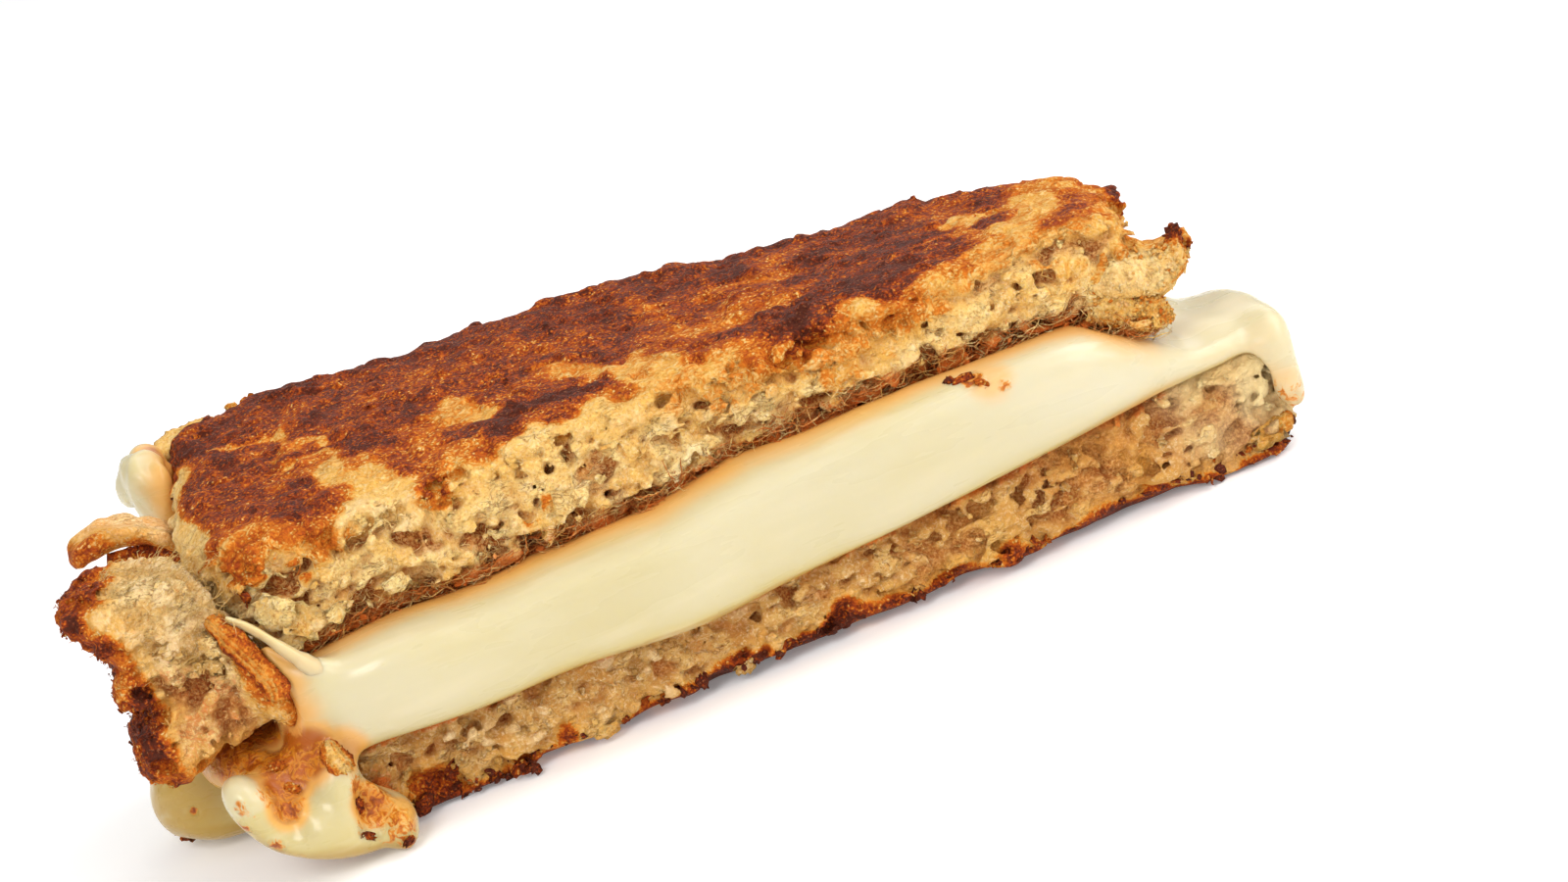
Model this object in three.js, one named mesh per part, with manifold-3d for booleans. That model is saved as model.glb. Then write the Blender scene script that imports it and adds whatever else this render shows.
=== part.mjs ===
// One half of a grilled cheese sandwich, cut across and lying on its lower slice.
// Millimetres, +Z up. +X runs along the cut, from the torn end to the end the cheese has run over.
// -Y is the cut side, which shows both crumbs and the cheese. The origin is under the middle of the half.
import * as THREE from 'three';
import { mergeVertices } from 'three/addons/utils/BufferGeometryUtils.js';
import Module from 'manifold-3d';

const wasm = await Module();
wasm.setup();

// ---------------------------------------------------------------- driving dimensions

const CUT_Y = -26; // the cut side of both slices
const BACK_Y_TORN = 27; // the loaf's own crust, at the torn end
const BACK_Y_RUN = 15; // the same crust at the other end, where the slice is narrower
const BACK_ROUNDING = 21; // how far the crust then curves in towards the cut side, past the upper slice

const TOP_X = [-62.5, 54]; // reach of the upper slice
const TOP_HEIGHT_TORN = 40; // height of the upper slice's cut edge at the torn end
const TOP_HEIGHT_RUN = 37.6; // the same at the other end
const BACK_LIFT_TORN = 4.2; // how much higher the back edge is at the torn end
const BACK_LIFT_RUN = -3; // and at the other end, where it dips
const BACK_CROWN = 2; // how much the back edge arches between them
const END_DIP = 2.2; // how far the back edge drops at its very end
const GAP_TORN = 23.5; // height of the upper slice's underside over the cheese, at the torn end
const GAP_RUN = 25.4; // and at the other end, past a step
const SAG = 3.4; // how far the cut edge hangs down at its end
const TORN_UNDERCUT = 3.6; // how far the torn end draws back at the bottom
const TORN_FLUFF = 4; // and stands out above, where the crumb has pulled apart
const RUN_CORNER = 3.2; // how far the back corner stands out at the other end

const BASE_X = [-64, 66.3]; // reach of the lower slice, which shows past the upper one
const BASE_THICKNESS = 13.4;
const BASE_EXTRA = 1.1; // how much thicker it is where the cheese has run
const BASE_ARCH = 2.4; // how far its cut edge lifts in the middle
const BASE_RAGGED = 1.6; // and how uneven that edge is

const CLEARANCE = 0.3; // between pieces that touch
const CLEARANCE_LOSS = 0.15; // how much of it the cheese's coarser faces may take
const BULGE = 6; // how far the melted cheese stands out of the cut side
const DROOP = 3.4; // how far it hangs over the lower slice's crumb
const FILM = 3.6; // its thickness where it has run over the end
const LAYER_X = [-61.5, 63];
const DRAPE_X = [53, 68.2];
const DRAPE_RISE = 2.2; // how much higher the drape is at its outer edge
const DRAPE_FALL = 1.8; // and how much lower at its front and back
const APRON_X = [-78.4, -60];
const APRON_Y = [-10, 13];
const APRON_HEIGHT = [11.5, 20]; // at its outer edge and at the layer
const APRON_FOOT = 1.1; // its underside, which keeps clear of the plate
const FLAP_Z = [18, 43.6];

const LUMP_HEIGHT = 23.5; // the torn lump of bread at the end
const LUMP_WIDTH = 15;
const LUMP_DEPTH = 13;
const LUMP_LEAN = THREE.MathUtils.degToRad(12);
const LUMP_CENTRE = [-70.6, -19.6, 29.4];
const LUMP_NOTCH = 1.8; // depth of the notch in its browned face
const LUMP_SPUR = 2.6; // how far the torn spur below the notch stands out
const LUMP_HOLLOW = 2.6; // how far that face is drawn in between its ends
const LUMP_SHOULDER = 3.4; // how far its top falls towards the slice
const CURL_LENGTH = 13;
const CURL_WIDTH = 8.5;
const CURL_THICKNESS = 2.4;
const CURL_ROOT = [-64, 2, 35.2];

// ---------------------------------------------------------------- small helpers

const { lerp, clamp, smoothstep } = THREE.MathUtils;
const along = ([low, high], x) => clamp((x - low) / (high - low), 0, 1);
const bump = (x, centre, reach) => Math.exp(-(((x - centre) / reach) ** 2));

// A repeatable number from 0 to 1 for each corner of a unit lattice.
function latticeValue(i, j, k) {
  let h = Math.imul(i, 374761393) ^ Math.imul(j, 668265263) ^ Math.imul(k, 2147483647);
  h = Math.imul(h ^ (h >>> 13), 1274126177);
  return ((h ^ (h >>> 16)) >>> 0) / 4294967295;
}

// Smooth noise from -1 to 1 whose bumps are about `size` millimetres across.
function noise(x, y, z, size) {
  const cell = [x / size, y / size, z / size];
  const base = cell.map(Math.floor);
  const [u, v, w] = cell.map((value, axis) => smoothstep(value - base[axis], 0, 1));
  let sum = 0;
  for (let corner = 0; corner < 8; corner += 1) {
    const [dx, dy, dz] = [corner & 1, (corner >> 1) & 1, corner >> 2];
    const weight = (dx ? u : 1 - u) * (dy ? v : 1 - v) * (dz ? w : 1 - w);
    sum += weight * latticeValue(base[0] + dx, base[1] + dy, base[2] + dz);
  }
  return sum * 2 - 1;
}

// Torn crumb: shallow lumps with some deeper pits between them.
function crumbRelief(x, y, z) {
  const lumps = 0.6 * noise(x, y, z, 6) + 0.45 * noise(x + 40, y, z, 3.2);
  const pits = Math.max(0, noise(x, y + 70, z, 4.5) - 0.3);
  return lumps - 2.2 * pits;
}

const crustRelief = (x, y, z) => 0.35 * noise(x, y, z, 9) + 0.2 * noise(x, y + 30, z, 4);

// ---------------------------------------------------------------- solids

function toSolid(geometry) {
  const bare = geometry.index ? geometry.clone() : geometry;
  bare.deleteAttribute('normal');
  bare.deleteAttribute('uv');
  const merged = mergeVertices(bare, 1e-3);
  return new wasm.Manifold(
    new wasm.Mesh({
      numProp: 3,
      vertProperties: new Float32Array(merged.attributes.position.array),
      triVerts: new Uint32Array(merged.index.array),
    }),
  );
}

function toGeometry(solid) {
  const { vertProperties, triVerts } = solid.getMesh();
  const geometry = new THREE.BufferGeometry();
  geometry.setAttribute('position', new THREE.BufferAttribute(vertProperties, 3));
  geometry.setIndex(new THREE.BufferAttribute(triVerts, 1));
  geometry.computeVertexNormals();
  return geometry;
}

const largestBody = (solid) => solid.decompose().sort((a, b) => b.volume() - a.volume())[0];
const joined = (solids) => solids.reduce((whole, solid) => whole.add(solid));

// Moves each vertex of a geometry to where `place` says.
function reshaped(geometry, place) {
  const position = geometry.attributes.position;
  const point = new THREE.Vector3();
  for (let i = 0; i < position.count; i += 1) {
    point.fromBufferAttribute(position, i);
    place(point);
    position.setXYZ(i, point.x, point.y, point.z);
  }
  return geometry;
}

// A box with rounded plan corners and rounded edges. It returns the rounded point and the way out of it.
function roundedPoint(point, half, planRadius, edgeRadius) {
  const innerX = clamp(point.x, planRadius - half.x, half.x - planRadius);
  const innerY = clamp(point.y, planRadius - half.y, half.y - planRadius);
  const corner = new THREE.Vector2(point.x - innerX, point.y - innerY);
  const square = Math.max(Math.abs(corner.x), Math.abs(corner.y));
  if (square > 0) corner.multiplyScalar(square / corner.length());
  const inset = planRadius - square;
  const outward = square > 0 ? corner.clone().normalize() : new THREE.Vector2();
  const sideways = Math.max(0, edgeRadius - inset);
  const upward = Math.max(0, Math.abs(point.z) - (half.z - edgeRadius));
  const reach = Math.hypot(sideways, upward) || 1;
  const shrink = edgeRadius / reach;
  const onEdge = sideways > 0 && upward > 0;
  const side = onEdge ? sideways * shrink : sideways;
  const up = onEdge ? upward * shrink : upward;
  const rounded = new THREE.Vector3(
    innerX + outward.x * (square - sideways + side),
    innerY + outward.y * (square - sideways + side),
    Math.sign(point.z) * (Math.abs(point.z) - upward + up),
  );
  const normal = new THREE.Vector3(
    outward.x * sideways,
    outward.y * sideways,
    Math.sign(point.z) * upward,
  ).normalize();
  return { rounded, normal };
}

// A slice-like slab. `warp` turns the rounded box's point, as shares of its half sizes, into its real
// place, and `relief` is how far the surface stands out there. `grow` makes the slab larger, for clearances.
function slab({ half, segments, planRadius, edgeRadius, crowding, warp, relief }, grow = 0) {
  const box = new THREE.BoxGeometry(2, 2, 2, ...segments);
  const crowd = (share) => share + (crowding * Math.sin(Math.PI * share)) / Math.PI;
  return toSolid(
    reshaped(box, (point) => {
      point.set(crowd(point.x) * half.x, crowd(point.y) * half.y, point.z * half.z);
      const { rounded, normal } = roundedPoint(point, half, planRadius, edgeRadius);
      point.copy(warp(rounded.clone().divide(half), normal));
      point.addScaledVector(normal, relief(point, normal) + grow);
    }),
  );
}

// A smooth lump: an ellipsoid that `bend` may pull out of shape.
function lump({ centre, radii, turn = [0, 0, 0], segments = [18, 12], bend = () => {} }, grow = 0) {
  const sphere = new THREE.SphereGeometry(1, ...segments);
  const size = new THREE.Vector3(...radii).addScalar(grow);
  const spin = new THREE.Euler(...turn);
  return toSolid(
    reshaped(sphere, (point) => {
      point.multiply(size).applyEuler(spin);
      point.add(new THREE.Vector3(...centre));
      bend(point);
    }),
  );
}

// ---------------------------------------------------------------- the two slices

function backEdge(x) {
  const crust = lerp(BACK_Y_TORN, BACK_Y_RUN, smoothstep(x, -50, 64));
  return crust - BACK_ROUNDING * smoothstep(x, 52, 74);
}

// Height of the upper slice's browned face.
function topHeight(x, y) {
  const run = along(TOP_X, x);
  const edge = lerp(TOP_HEIGHT_TORN, TOP_HEIGHT_RUN, run);
  const depth = along([CUT_Y, BACK_Y_TORN], y);
  const lift = lerp(BACK_LIFT_TORN, BACK_LIFT_RUN, run) + BACK_CROWN * bump(x, -4, 40);
  const endDip = END_DIP * smoothstep(x, 42, 56);
  return edge + depth * (lift - endDip) + 0.5 * noise(x, y, 0, 16);
}

const gapLevel = (x) => lerp(GAP_TORN, GAP_RUN, smoothstep(x, -14, 0));

// Height of the upper slice's underside. Its cut edge sags at the end, over the running cheese.
function gapHeight(x, y) {
  const sag = SAG * smoothstep(x, 41, 51) * bump(y, CUT_Y, 14);
  return gapLevel(x) - sag + 0.4 * noise(x, y, 11, 10);
}

const topSlice = {
  half: new THREE.Vector3(58.5, 26, 7.5),
  segments: [36, 8, 5],
  planRadius: 7,
  edgeRadius: 4.2,
  crowding: 0.2,
  warp: (share) => {
    const height = (share.z + 1) / 2;
    const tornEnd = smoothstep(-share.x, 0.86, 1);
    const fluff = TORN_FLUFF * bump(share.y, -0.3, 0.5) * bump(height, 0.5, 0.4);
    const undercut = TORN_UNDERCUT * (1 - height) ** 2;
    const corner = RUN_CORNER * smoothstep(share.x, 0.75, 1) * smoothstep(share.y, -0.7, 0.6);
    const x = lerp(...TOP_X, (share.x + 1) / 2) + tornEnd * (undercut - fluff) + corner;
    const y = lerp(CUT_Y, backEdge(x), (share.y + 1) / 2);
    return new THREE.Vector3(x, y, lerp(gapHeight(x, y), topHeight(x, y), height));
  },
  relief: ({ x, y, z }, normal) => {
    const crumb = smoothstep(-normal.y, 0.3, 0.9) + 0.6 * smoothstep(Math.abs(normal.x), 0.4, 1);
    return lerp(crustRelief(x, y, z), crumbRelief(x, y, z), clamp(crumb, 0, 1));
  },
};

const bottomSlice = {
  half: new THREE.Vector3(65.7, 26, 6.7),
  segments: [38, 8, 4],
  planRadius: 7,
  edgeRadius: 2.2,
  crowding: 0.2,
  warp: (share) => {
    const x = lerp(...BASE_X, (share.x + 1) / 2);
    const y = lerp(CUT_Y, backEdge(x), (share.y + 1) / 2);
    const nearCut = smoothstep(-share.y, 0.7, 1);
    const lift = BASE_ARCH * bump(x, 6, 34) + BASE_RAGGED * noise(x, 0, 0, 3.5);
    const ragged = nearCut * Math.max(0, lift);
    const height = BASE_THICKNESS + BASE_EXTRA * smoothstep(x, 20, 50) + 0.4 * noise(x, y, 5, 11);
    return new THREE.Vector3(x, y, lerp(ragged, height, (share.z + 1) / 2));
  },
  relief: ({ x, y, z }, normal) => {
    const crumb = smoothstep(Math.hypot(normal.x, normal.y), 0.3, 0.9);
    return crumb * 0.8 * crumbRelief(x, y, z + 50);
  },
};

// The torn corner of crumb at the end of the upper slice, its upturned tip of crust and the tongue below.
const cornerBlock = {
  centre: [54.6, -21.5, 27.6],
  radii: [4.4, 5, 3.6],
  turn: [0, 0.1, 0],
  segments: [12, 8],
};
const cornerTip = {
  centre: [57.6, -21.5, 27.8],
  radii: [1.9, 3, 3.4],
  turn: [0, 0.35, 0],
  segments: [10, 8],
  bend: (point) => {
    point.x += 0.09 * Math.max(0, point.z - 27.5) ** 2;
  },
};
const cornerTongue = {
  centre: [49, -23.5, 23.6],
  radii: [6, 4, 2.3],
  turn: [0, 0.36, 0],
  segments: [12, 8],
};

function upperSlice(grow = 0) {
  const corner = [cornerBlock, cornerTip, cornerTongue].map((shape) => lump(shape, grow));
  return joined([slab(topSlice, grow), ...corner]);
}

// ---------------------------------------------------------------- the torn end

// The lump that has broken off the upper slice and leans out, its browned face to the end.
const tornLump = {
  half: new THREE.Vector3(LUMP_WIDTH / 2, LUMP_DEPTH / 2, LUMP_HEIGHT / 2),
  segments: [6, 6, 9],
  planRadius: 2.4,
  edgeRadius: 2,
  crowding: 0.15,
  warp: (share) => {
    const height = (share.z * LUMP_HEIGHT) / 2;
    const widening = 1 + 0.1 * (1 - share.z);
    const brownedSide = smoothstep(-share.x, 0.2, 1);
    const brow = 1.4 * smoothstep(share.z, 0.5, 1);
    const notch = LUMP_NOTCH * bump(height, -3.5, 2) - LUMP_SPUR * bump(height, -7.6, 2.2);
    const hollow = LUMP_HOLLOW * (1 - share.z ** 2) - brow + notch;
    const x = (share.x * LUMP_WIDTH * widening) / 2 + hollow * brownedSide;
    const y = (share.y * LUMP_DEPTH * (1.15 - 0.15 * share.z)) / 2;
    const shoulder = LUMP_SHOULDER * smoothstep(share.z, 0.2, 1) * smoothstep(share.x, -0.1, 1);
    return new THREE.Vector3(x, y, height - shoulder)
      .applyEuler(new THREE.Euler(0, -LUMP_LEAN, 0))
      .add(new THREE.Vector3(...LUMP_CENTRE));
  },
  relief: ({ x, y, z }, normal) => crumbRelief(x, y, z) * lerp(0.9, 0.45, smoothstep(-normal.x, 0, 1)),
};

// The strip of crust that folds down the lump's inner edge, over the end of the cheese.
const foldedStrip = {
  centre: [-62, -28, 25],
  radii: [2.2, 2, 8.4],
  turn: [0, -0.42, 0],
  segments: [9, 10],
  bend: (point) => {
    point.x -= 0.018 * (point.z - 26) ** 2;
  },
};

const crustLump = (grow = 0) => slab(tornLump, grow).add(lump(foldedStrip, grow));

// A ribbon of crust that curls out over the lump: it rises from its root and bends down again at its tip.
const curlRibbon = {
  half: new THREE.Vector3(CURL_LENGTH / 2, CURL_WIDTH / 2, CURL_THICKNESS / 2),
  segments: [12, 6, 2],
  planRadius: 2,
  edgeRadius: 1,
  crowding: 0.1,
  warp: (share) => {
    const reach = (1 - share.x) / 2;
    const across = (share.y * CURL_WIDTH * (1 - 0.25 * reach)) / 2;
    const arch = 13 * reach - 10.4 * reach ** 2 + 0.7 * share.y ** 2;
    const thick = (share.z * CURL_THICKNESS) / 2;
    const fromRoot = new THREE.Vector3(-reach * CURL_LENGTH, across, arch + thick);
    return fromRoot.add(new THREE.Vector3(...CURL_ROOT));
  },
  relief: ({ x, y, z }) => 0.2 * noise(x, y, z, 3),
};

// ---------------------------------------------------------------- the cheese

const cheeseTop = (x) => lerp(gapLevel(x) + 1.2, BASE_THICKNESS + FILM, smoothstep(x, 40, 58));

// Height of the swelling's lower lip: lowest in the middle, and drawn up where the lower slice is thicker.
function lipHeight(x) {
  const drawnUp = 1.6 * smoothstep(x, 24, 46) - smoothstep(-x, 20, 60);
  return BASE_THICKNESS + drawnUp - DROOP * bump(x, -8, 38);
}

// The layer between the slices. Out of the cut side it swells and droops over the lower crumb.
const layer = {
  half: new THREE.Vector3(61, 28, 7),
  segments: [32, 7, 6],
  planRadius: 6,
  edgeRadius: 4.5,
  crowding: 0.2,
  warp: (share) => {
    const x = lerp(...LAYER_X, (share.x + 1) / 2);
    const swell = BULGE * (1 - 0.85 * smoothstep(x, 36, 60)) * (1 + 0.18 * noise(x, 0, 3, 15));
    const back = backEdge(x) - 1.6 + 1.2 * noise(x, 0, 40, 8);
    const y = lerp(CUT_Y - swell, back, (share.y + 1) / 2);
    const outside = smoothstep(-y, -CUT_Y - 3, -CUT_Y + 2);
    const low = lerp(BASE_THICKNESS - 1.5, lipHeight(x), outside);
    const high = cheeseTop(x) - outside * (0.6 + 0.8 * noise(x, 9, 0, 12));
    return new THREE.Vector3(x, y, lerp(low, high, (share.z + 1) / 2));
  },
  relief: ({ x, y, z }) => 0.35 * noise(x, y, z, 13),
};

// What has run over the other end: a mantle round the lower slice's corner that hangs down its end.
const drape = {
  half: new THREE.Vector3(10, 21, 7.5),
  segments: [6, 9, 6],
  planRadius: 6,
  edgeRadius: 4.4,
  crowding: 0.1,
  warp: (share) => {
    const front = smoothstep(-share.y, 0.4, 1);
    const sideways = (share.x + 1) / 2;
    const x = lerp(DRAPE_X[0] + 8 * front, DRAPE_X[1], sideways);
    const y = lerp(CUT_Y - 1.2, backEdge(x) + 1.5, (share.y + 1) / 2);
    const rise = DRAPE_RISE * sideways - DRAPE_FALL * Math.abs(share.y);
    const crown = BASE_THICKNESS + FILM + 0.2 + rise;
    const hem = 3.4 + 4 * front * (1 - sideways) + 1.8 * noise(y, 0, 20, 6);
    return new THREE.Vector3(x, y, lerp(hem, crown, (share.z + 1) / 2));
  },
  relief: ({ x, y, z }) => 0.3 * noise(x, y, z, 9),
};

// What has run out behind the lump: an apron from the layer's end down to where the half lies.
const apron = {
  half: new THREE.Vector3(9, 11.5, 8),
  segments: [6, 7, 6],
  planRadius: 8,
  edgeRadius: 6,
  crowding: 0.1,
  warp: (share) => {
    const outward = (1 - share.x) / 2;
    const x = lerp(...APRON_X, 1 - outward) + 0.8 * share.y * outward;
    const waist = share.y * (4.2 * (1 - outward) - 1.6 * bump(share.z, 0.1, 0.7));
    const y = lerp(...APRON_Y, (share.y + 1) / 2) + waist;
    const crown = lerp(...APRON_HEIGHT, 1 - outward ** 1.5) - 1.6 * bump(share.y, 0.3, 0.3) * outward;
    return new THREE.Vector3(x, y, lerp(APRON_FOOT, crown, (share.z + 1) / 2));
  },
  relief: ({ x, y, z }) => 0.7 * noise(x, y, z, 7),
};

// A flap of cheese that sticks to the torn end of the upper slice, towards the back.
const flap = {
  half: new THREE.Vector3(3.4, 8, 12),
  segments: [4, 6, 8],
  planRadius: 3.3,
  edgeRadius: 3.3,
  crowding: 0.1,
  warp: (share) => {
    const height = (share.z + 1) / 2;
    const thinning = 1 - 0.3 * height;
    const x = -63.2 + 3.4 * share.x * thinning - 2 * height + 1.2 * bump(height, 0.45, 0.3);
    const y = 18.4 - 2 * height + share.y * lerp(9.4, 5, height ** 1.5);
    return new THREE.Vector3(x, y, lerp(...FLAP_Z, height) - 1.4 * share.y);
  },
  relief: ({ x, y, z }) => 0.6 * noise(x, y, z, 6),
};

// Keeps a lump above the face that the half lies on.
const rest = (point) => {
  point.z = Math.max(0, point.z);
};

// The fingers that have run over the lower slice's corner at the torn end, and the web behind them.
const fingers = [
  { centre: [-68.1, -30.3, 11.4], radii: [2.6, 3.9, 5], turn: [0, -0.35, 0], segments: [12, 9] },
  { centre: [-61.2, -30.6, 6.2], radii: [9.2, 4.8, 3.9], turn: [0, 0.42, 0], segments: [14, 9] },
  { centre: [-58.6, -30, 8.6], radii: [3.1, 4.6, 6.6], turn: [0, 0.15, 0], segments: [12, 10] },
  { centre: [-53.4, -30.2, 4.2], radii: [2.6, 4.6, 5.4], segments: [12, 9], bend: rest },
  { centre: [-65.4, -26, 10.4], radii: [4.4, 5, 4.6], segments: [12, 9] },
  { centre: [-60, -27.4, 12.6], radii: [6.4, 3.1, 3.6], turn: [0, -0.2, 0], segments: [12, 8] },
  { centre: [-66, -14, 13.4], radii: [6, 12, 3.8], segments: [12, 8] },
];

// The strand that stretches up beside the folded strip.
const strand = {
  centre: [-58.4, -28, 23.4],
  radii: [2.1, 2.2, 8.4],
  turn: [0, -0.5, 0],
  segments: [9, 10],
};

function meltedCheese(neighbours) {
  const slabs = [layer, drape, apron, flap].map((shape) => slab(shape));
  const lumps = [...fingers, strand].map((shape) => lump(shape));
  const whole = joined([...slabs, ...lumps]);
  const kept = neighbours.reduce((left, solid) => left.subtract(solid), whole);
  return largestBody(kept).simplify(CLEARANCE_LOSS);
}

// ---------------------------------------------------------------- materials and nodes

const bread = new THREE.MeshStandardMaterial({ color: 0xd8b070, roughness: 0.85, metalness: 0 });
const toast = new THREE.MeshStandardMaterial({ color: 0x8a4a22, roughness: 0.7, metalness: 0 });
const cheese = new THREE.MeshStandardMaterial({ color: 0xf2e3a4, roughness: 0.35, metalness: 0 });

const half = new THREE.Group();

function addNode(name, solid, material) {
  const mesh = new THREE.Mesh(toGeometry(solid), material);
  mesh.name = name;
  half.add(mesh);
}

const lumpRoom = crustLump(CLEARANCE);
const curlRoom = slab(curlRibbon, CLEARANCE);
const sliceRoom = upperSlice(CLEARANCE);
const baseRoom = slab(bottomSlice, CLEARANCE);

addNode('bread_top', upperSlice().subtract(lumpRoom).subtract(curlRoom), toast);
addNode('bread_bottom', slab(bottomSlice), bread);
addNode('torn_end', crustLump(), bread);
addNode('crust_curl', slab(curlRibbon), toast);
addNode('melted_cheese', meltedCheese([sliceRoom, baseRoom, lumpRoom, curlRoom]), cheese);

// The origin goes to the middle of the whole, on the face it lies on.
const reach = new THREE.Box3().setFromObject(half);
const middle = reach.getCenter(new THREE.Vector3());
half.position.set(-middle.x, -middle.y, -reach.min.z);

export default half;
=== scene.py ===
import functools
import math

import bmesh
import bpy
import numpy as np
import openvdb
from mathutils import Matrix, Vector
from mathutils.kdtree import KDTree


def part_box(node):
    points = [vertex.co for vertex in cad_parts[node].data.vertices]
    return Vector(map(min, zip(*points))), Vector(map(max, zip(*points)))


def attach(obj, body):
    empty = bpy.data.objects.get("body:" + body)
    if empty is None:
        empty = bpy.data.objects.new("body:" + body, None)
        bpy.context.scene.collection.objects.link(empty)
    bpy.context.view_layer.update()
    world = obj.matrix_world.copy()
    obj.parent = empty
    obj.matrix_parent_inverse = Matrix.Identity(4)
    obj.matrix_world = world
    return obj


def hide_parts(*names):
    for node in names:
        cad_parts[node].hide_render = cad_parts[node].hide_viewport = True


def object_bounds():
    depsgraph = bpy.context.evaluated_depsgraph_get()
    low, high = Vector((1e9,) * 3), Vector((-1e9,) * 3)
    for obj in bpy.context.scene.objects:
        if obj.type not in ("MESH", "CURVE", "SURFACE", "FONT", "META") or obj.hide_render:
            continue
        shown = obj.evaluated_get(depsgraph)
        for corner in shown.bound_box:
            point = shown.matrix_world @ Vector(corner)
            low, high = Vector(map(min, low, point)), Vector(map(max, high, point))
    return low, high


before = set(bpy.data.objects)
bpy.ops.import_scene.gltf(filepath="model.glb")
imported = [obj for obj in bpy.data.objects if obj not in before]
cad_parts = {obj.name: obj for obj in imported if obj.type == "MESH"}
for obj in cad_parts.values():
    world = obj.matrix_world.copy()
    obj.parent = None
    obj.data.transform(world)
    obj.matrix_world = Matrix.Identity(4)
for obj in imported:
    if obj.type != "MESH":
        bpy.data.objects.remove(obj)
cad_low, cad_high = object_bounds()

# ---------------- sizes, in millimetres unless they say otherwise

MM = 0.001
COARSE = 1.0
# What stands for each solid: the piece, its material slot, its lattice's pitch and its limit of triangles.
STANDS_FOR = {
    "bread_top": ("upper_slice", "toasted_bread", 0.42, 196_000),
    "bread_bottom": ("lower_slice", "bread_crumb", 0.42, 170_000),
    "torn_end": ("torn_lump", "torn_crust", 0.32, 110_000),
    "crust_curl": ("curled_crust", "crust_ribbon", 0.26, 16_000),
    "melted_cheese": ("cheese_flow", "cheese", 0.5, 130_000),
}

# Places below are given from the lower slice's corner at the torn end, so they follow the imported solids.
CORNER = np.array(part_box("bread_bottom")[0]) / MM
ORIGIN = CORNER - np.array([-57.9, -22.4, 0.0])
BOX_LOW = np.array(cad_low) / MM - ORIGIN
BOX_HIGH = np.array(cad_high) / MM - ORIGIN
BOX_CLEAR = 0.02  # how far every form stays inside the solids' box
CUT_Y = -22.0

CARVE_REACH = 1.15  # how far a carved ellipsoid tells, as a share of its radii
UNCUT = -9  # the value, well inside any form, of places that no hole reaches
HOLE_RIM = -1.5  # how near to a hole its ragged outline tells
ON_SURFACE = 0.6  # how near to a surface a place on it lies, as a share of the pitch
PAST_EDGE = 5  # how far a slice's height is carried outward
# At this depth in a hole the crumb's painted shade is darkest.
DEEPEST = 1.8  # how deep in a hole its colour is darkest


# ---------------- numbers


def ease(x, low, high):
    """Goes from 0 at low to 1 at high."""
    t = np.clip((x - low) / (high - low), 0, 1)
    return t * t * (3 - 2 * t)


def fade(x, low, high):
    """Goes from 1 at low to 0 at high."""
    return 1 - ease(x, low, high)


def hump(x, centre, reach):
    return np.exp(-(((x - centre) / reach) ** 2))


def most(*values):
    """The greatest of some arrays, place by place."""
    return functools.reduce(np.maximum, values)


def unit(vectors, tiny=1e-9):
    return vectors / (np.linalg.norm(vectors, axis=-1, keepdims=True) + tiny)


def on_axis(values, axis):
    """Lays a row of values along one axis of a lattice."""
    return values.reshape([-1 if a == axis else 1 for a in range(3)])


def spline_weights(count, step):
    """How each of count places, step knots apart, takes its value from the knots of a cubic spline."""
    at = np.arange(count) * step
    first = np.floor(at).astype(int)
    t = at - first
    weights = np.zeros((count, first[-1] + 4), np.float32)
    rows = np.arange(count)
    weights[rows, first] = (1 - t) ** 3 / 6
    weights[rows, first + 1] = (3 * t**3 - 6 * t**2 + 4) / 6
    weights[rows, first + 2] = (-3 * t**3 + 3 * t**2 + 3 * t + 1) / 6
    weights[rows, first + 3] = t**3 / 6
    return weights


def patches(x, y, lines, halo=0.0):
    """The strongest of some soft-edged patches, each along a line from a to b, and of the halo round each."""
    best = 0.0
    for ax, ay, bx, by, width, strength in lines:
        length = max(1e-6, (bx - ax) ** 2 + (by - ay) ** 2)
        t = np.clip(((x - ax) * (bx - ax) + (y - ay) * (by - ay)) / length, 0, 1)
        away = np.hypot(x - ax - t * (bx - ax), y - ay - t * (by - ay))
        best = most(best, strength * fade(away, 0.45 * width, 1.25 * width), halo * fade(away, width, width + 4.5))
    return best


def spots(x, y, z, balls, inner, outer):
    """The strongest of some soft-edged balls, each a centre, radius and strength."""
    best = 0.0
    for cx, cy, cz, radius, strength in balls:
        away = np.sqrt((x - cx) ** 2 + (y - cy) ** 2 + (z - cz) ** 2)
        best = np.maximum(best, strength * fade(away, inner * radius, outer * radius))
    return best


def mesh_points(mesh):
    points = np.empty(len(mesh.vertices) * 3, np.float32)
    mesh.vertices.foreach_get("co", points)
    return points.reshape(-1, 3) / MM - ORIGIN


def node_mesh(node):
    """The points, in mm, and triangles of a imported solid."""
    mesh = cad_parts[node].data
    mesh.calc_loop_triangles()
    triangles = np.empty(len(mesh.loop_triangles) * 3, np.int32)
    mesh.loop_triangles.foreach_get("vertices", triangles)
    return mesh_points(mesh), triangles.reshape(-1, 3)


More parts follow.
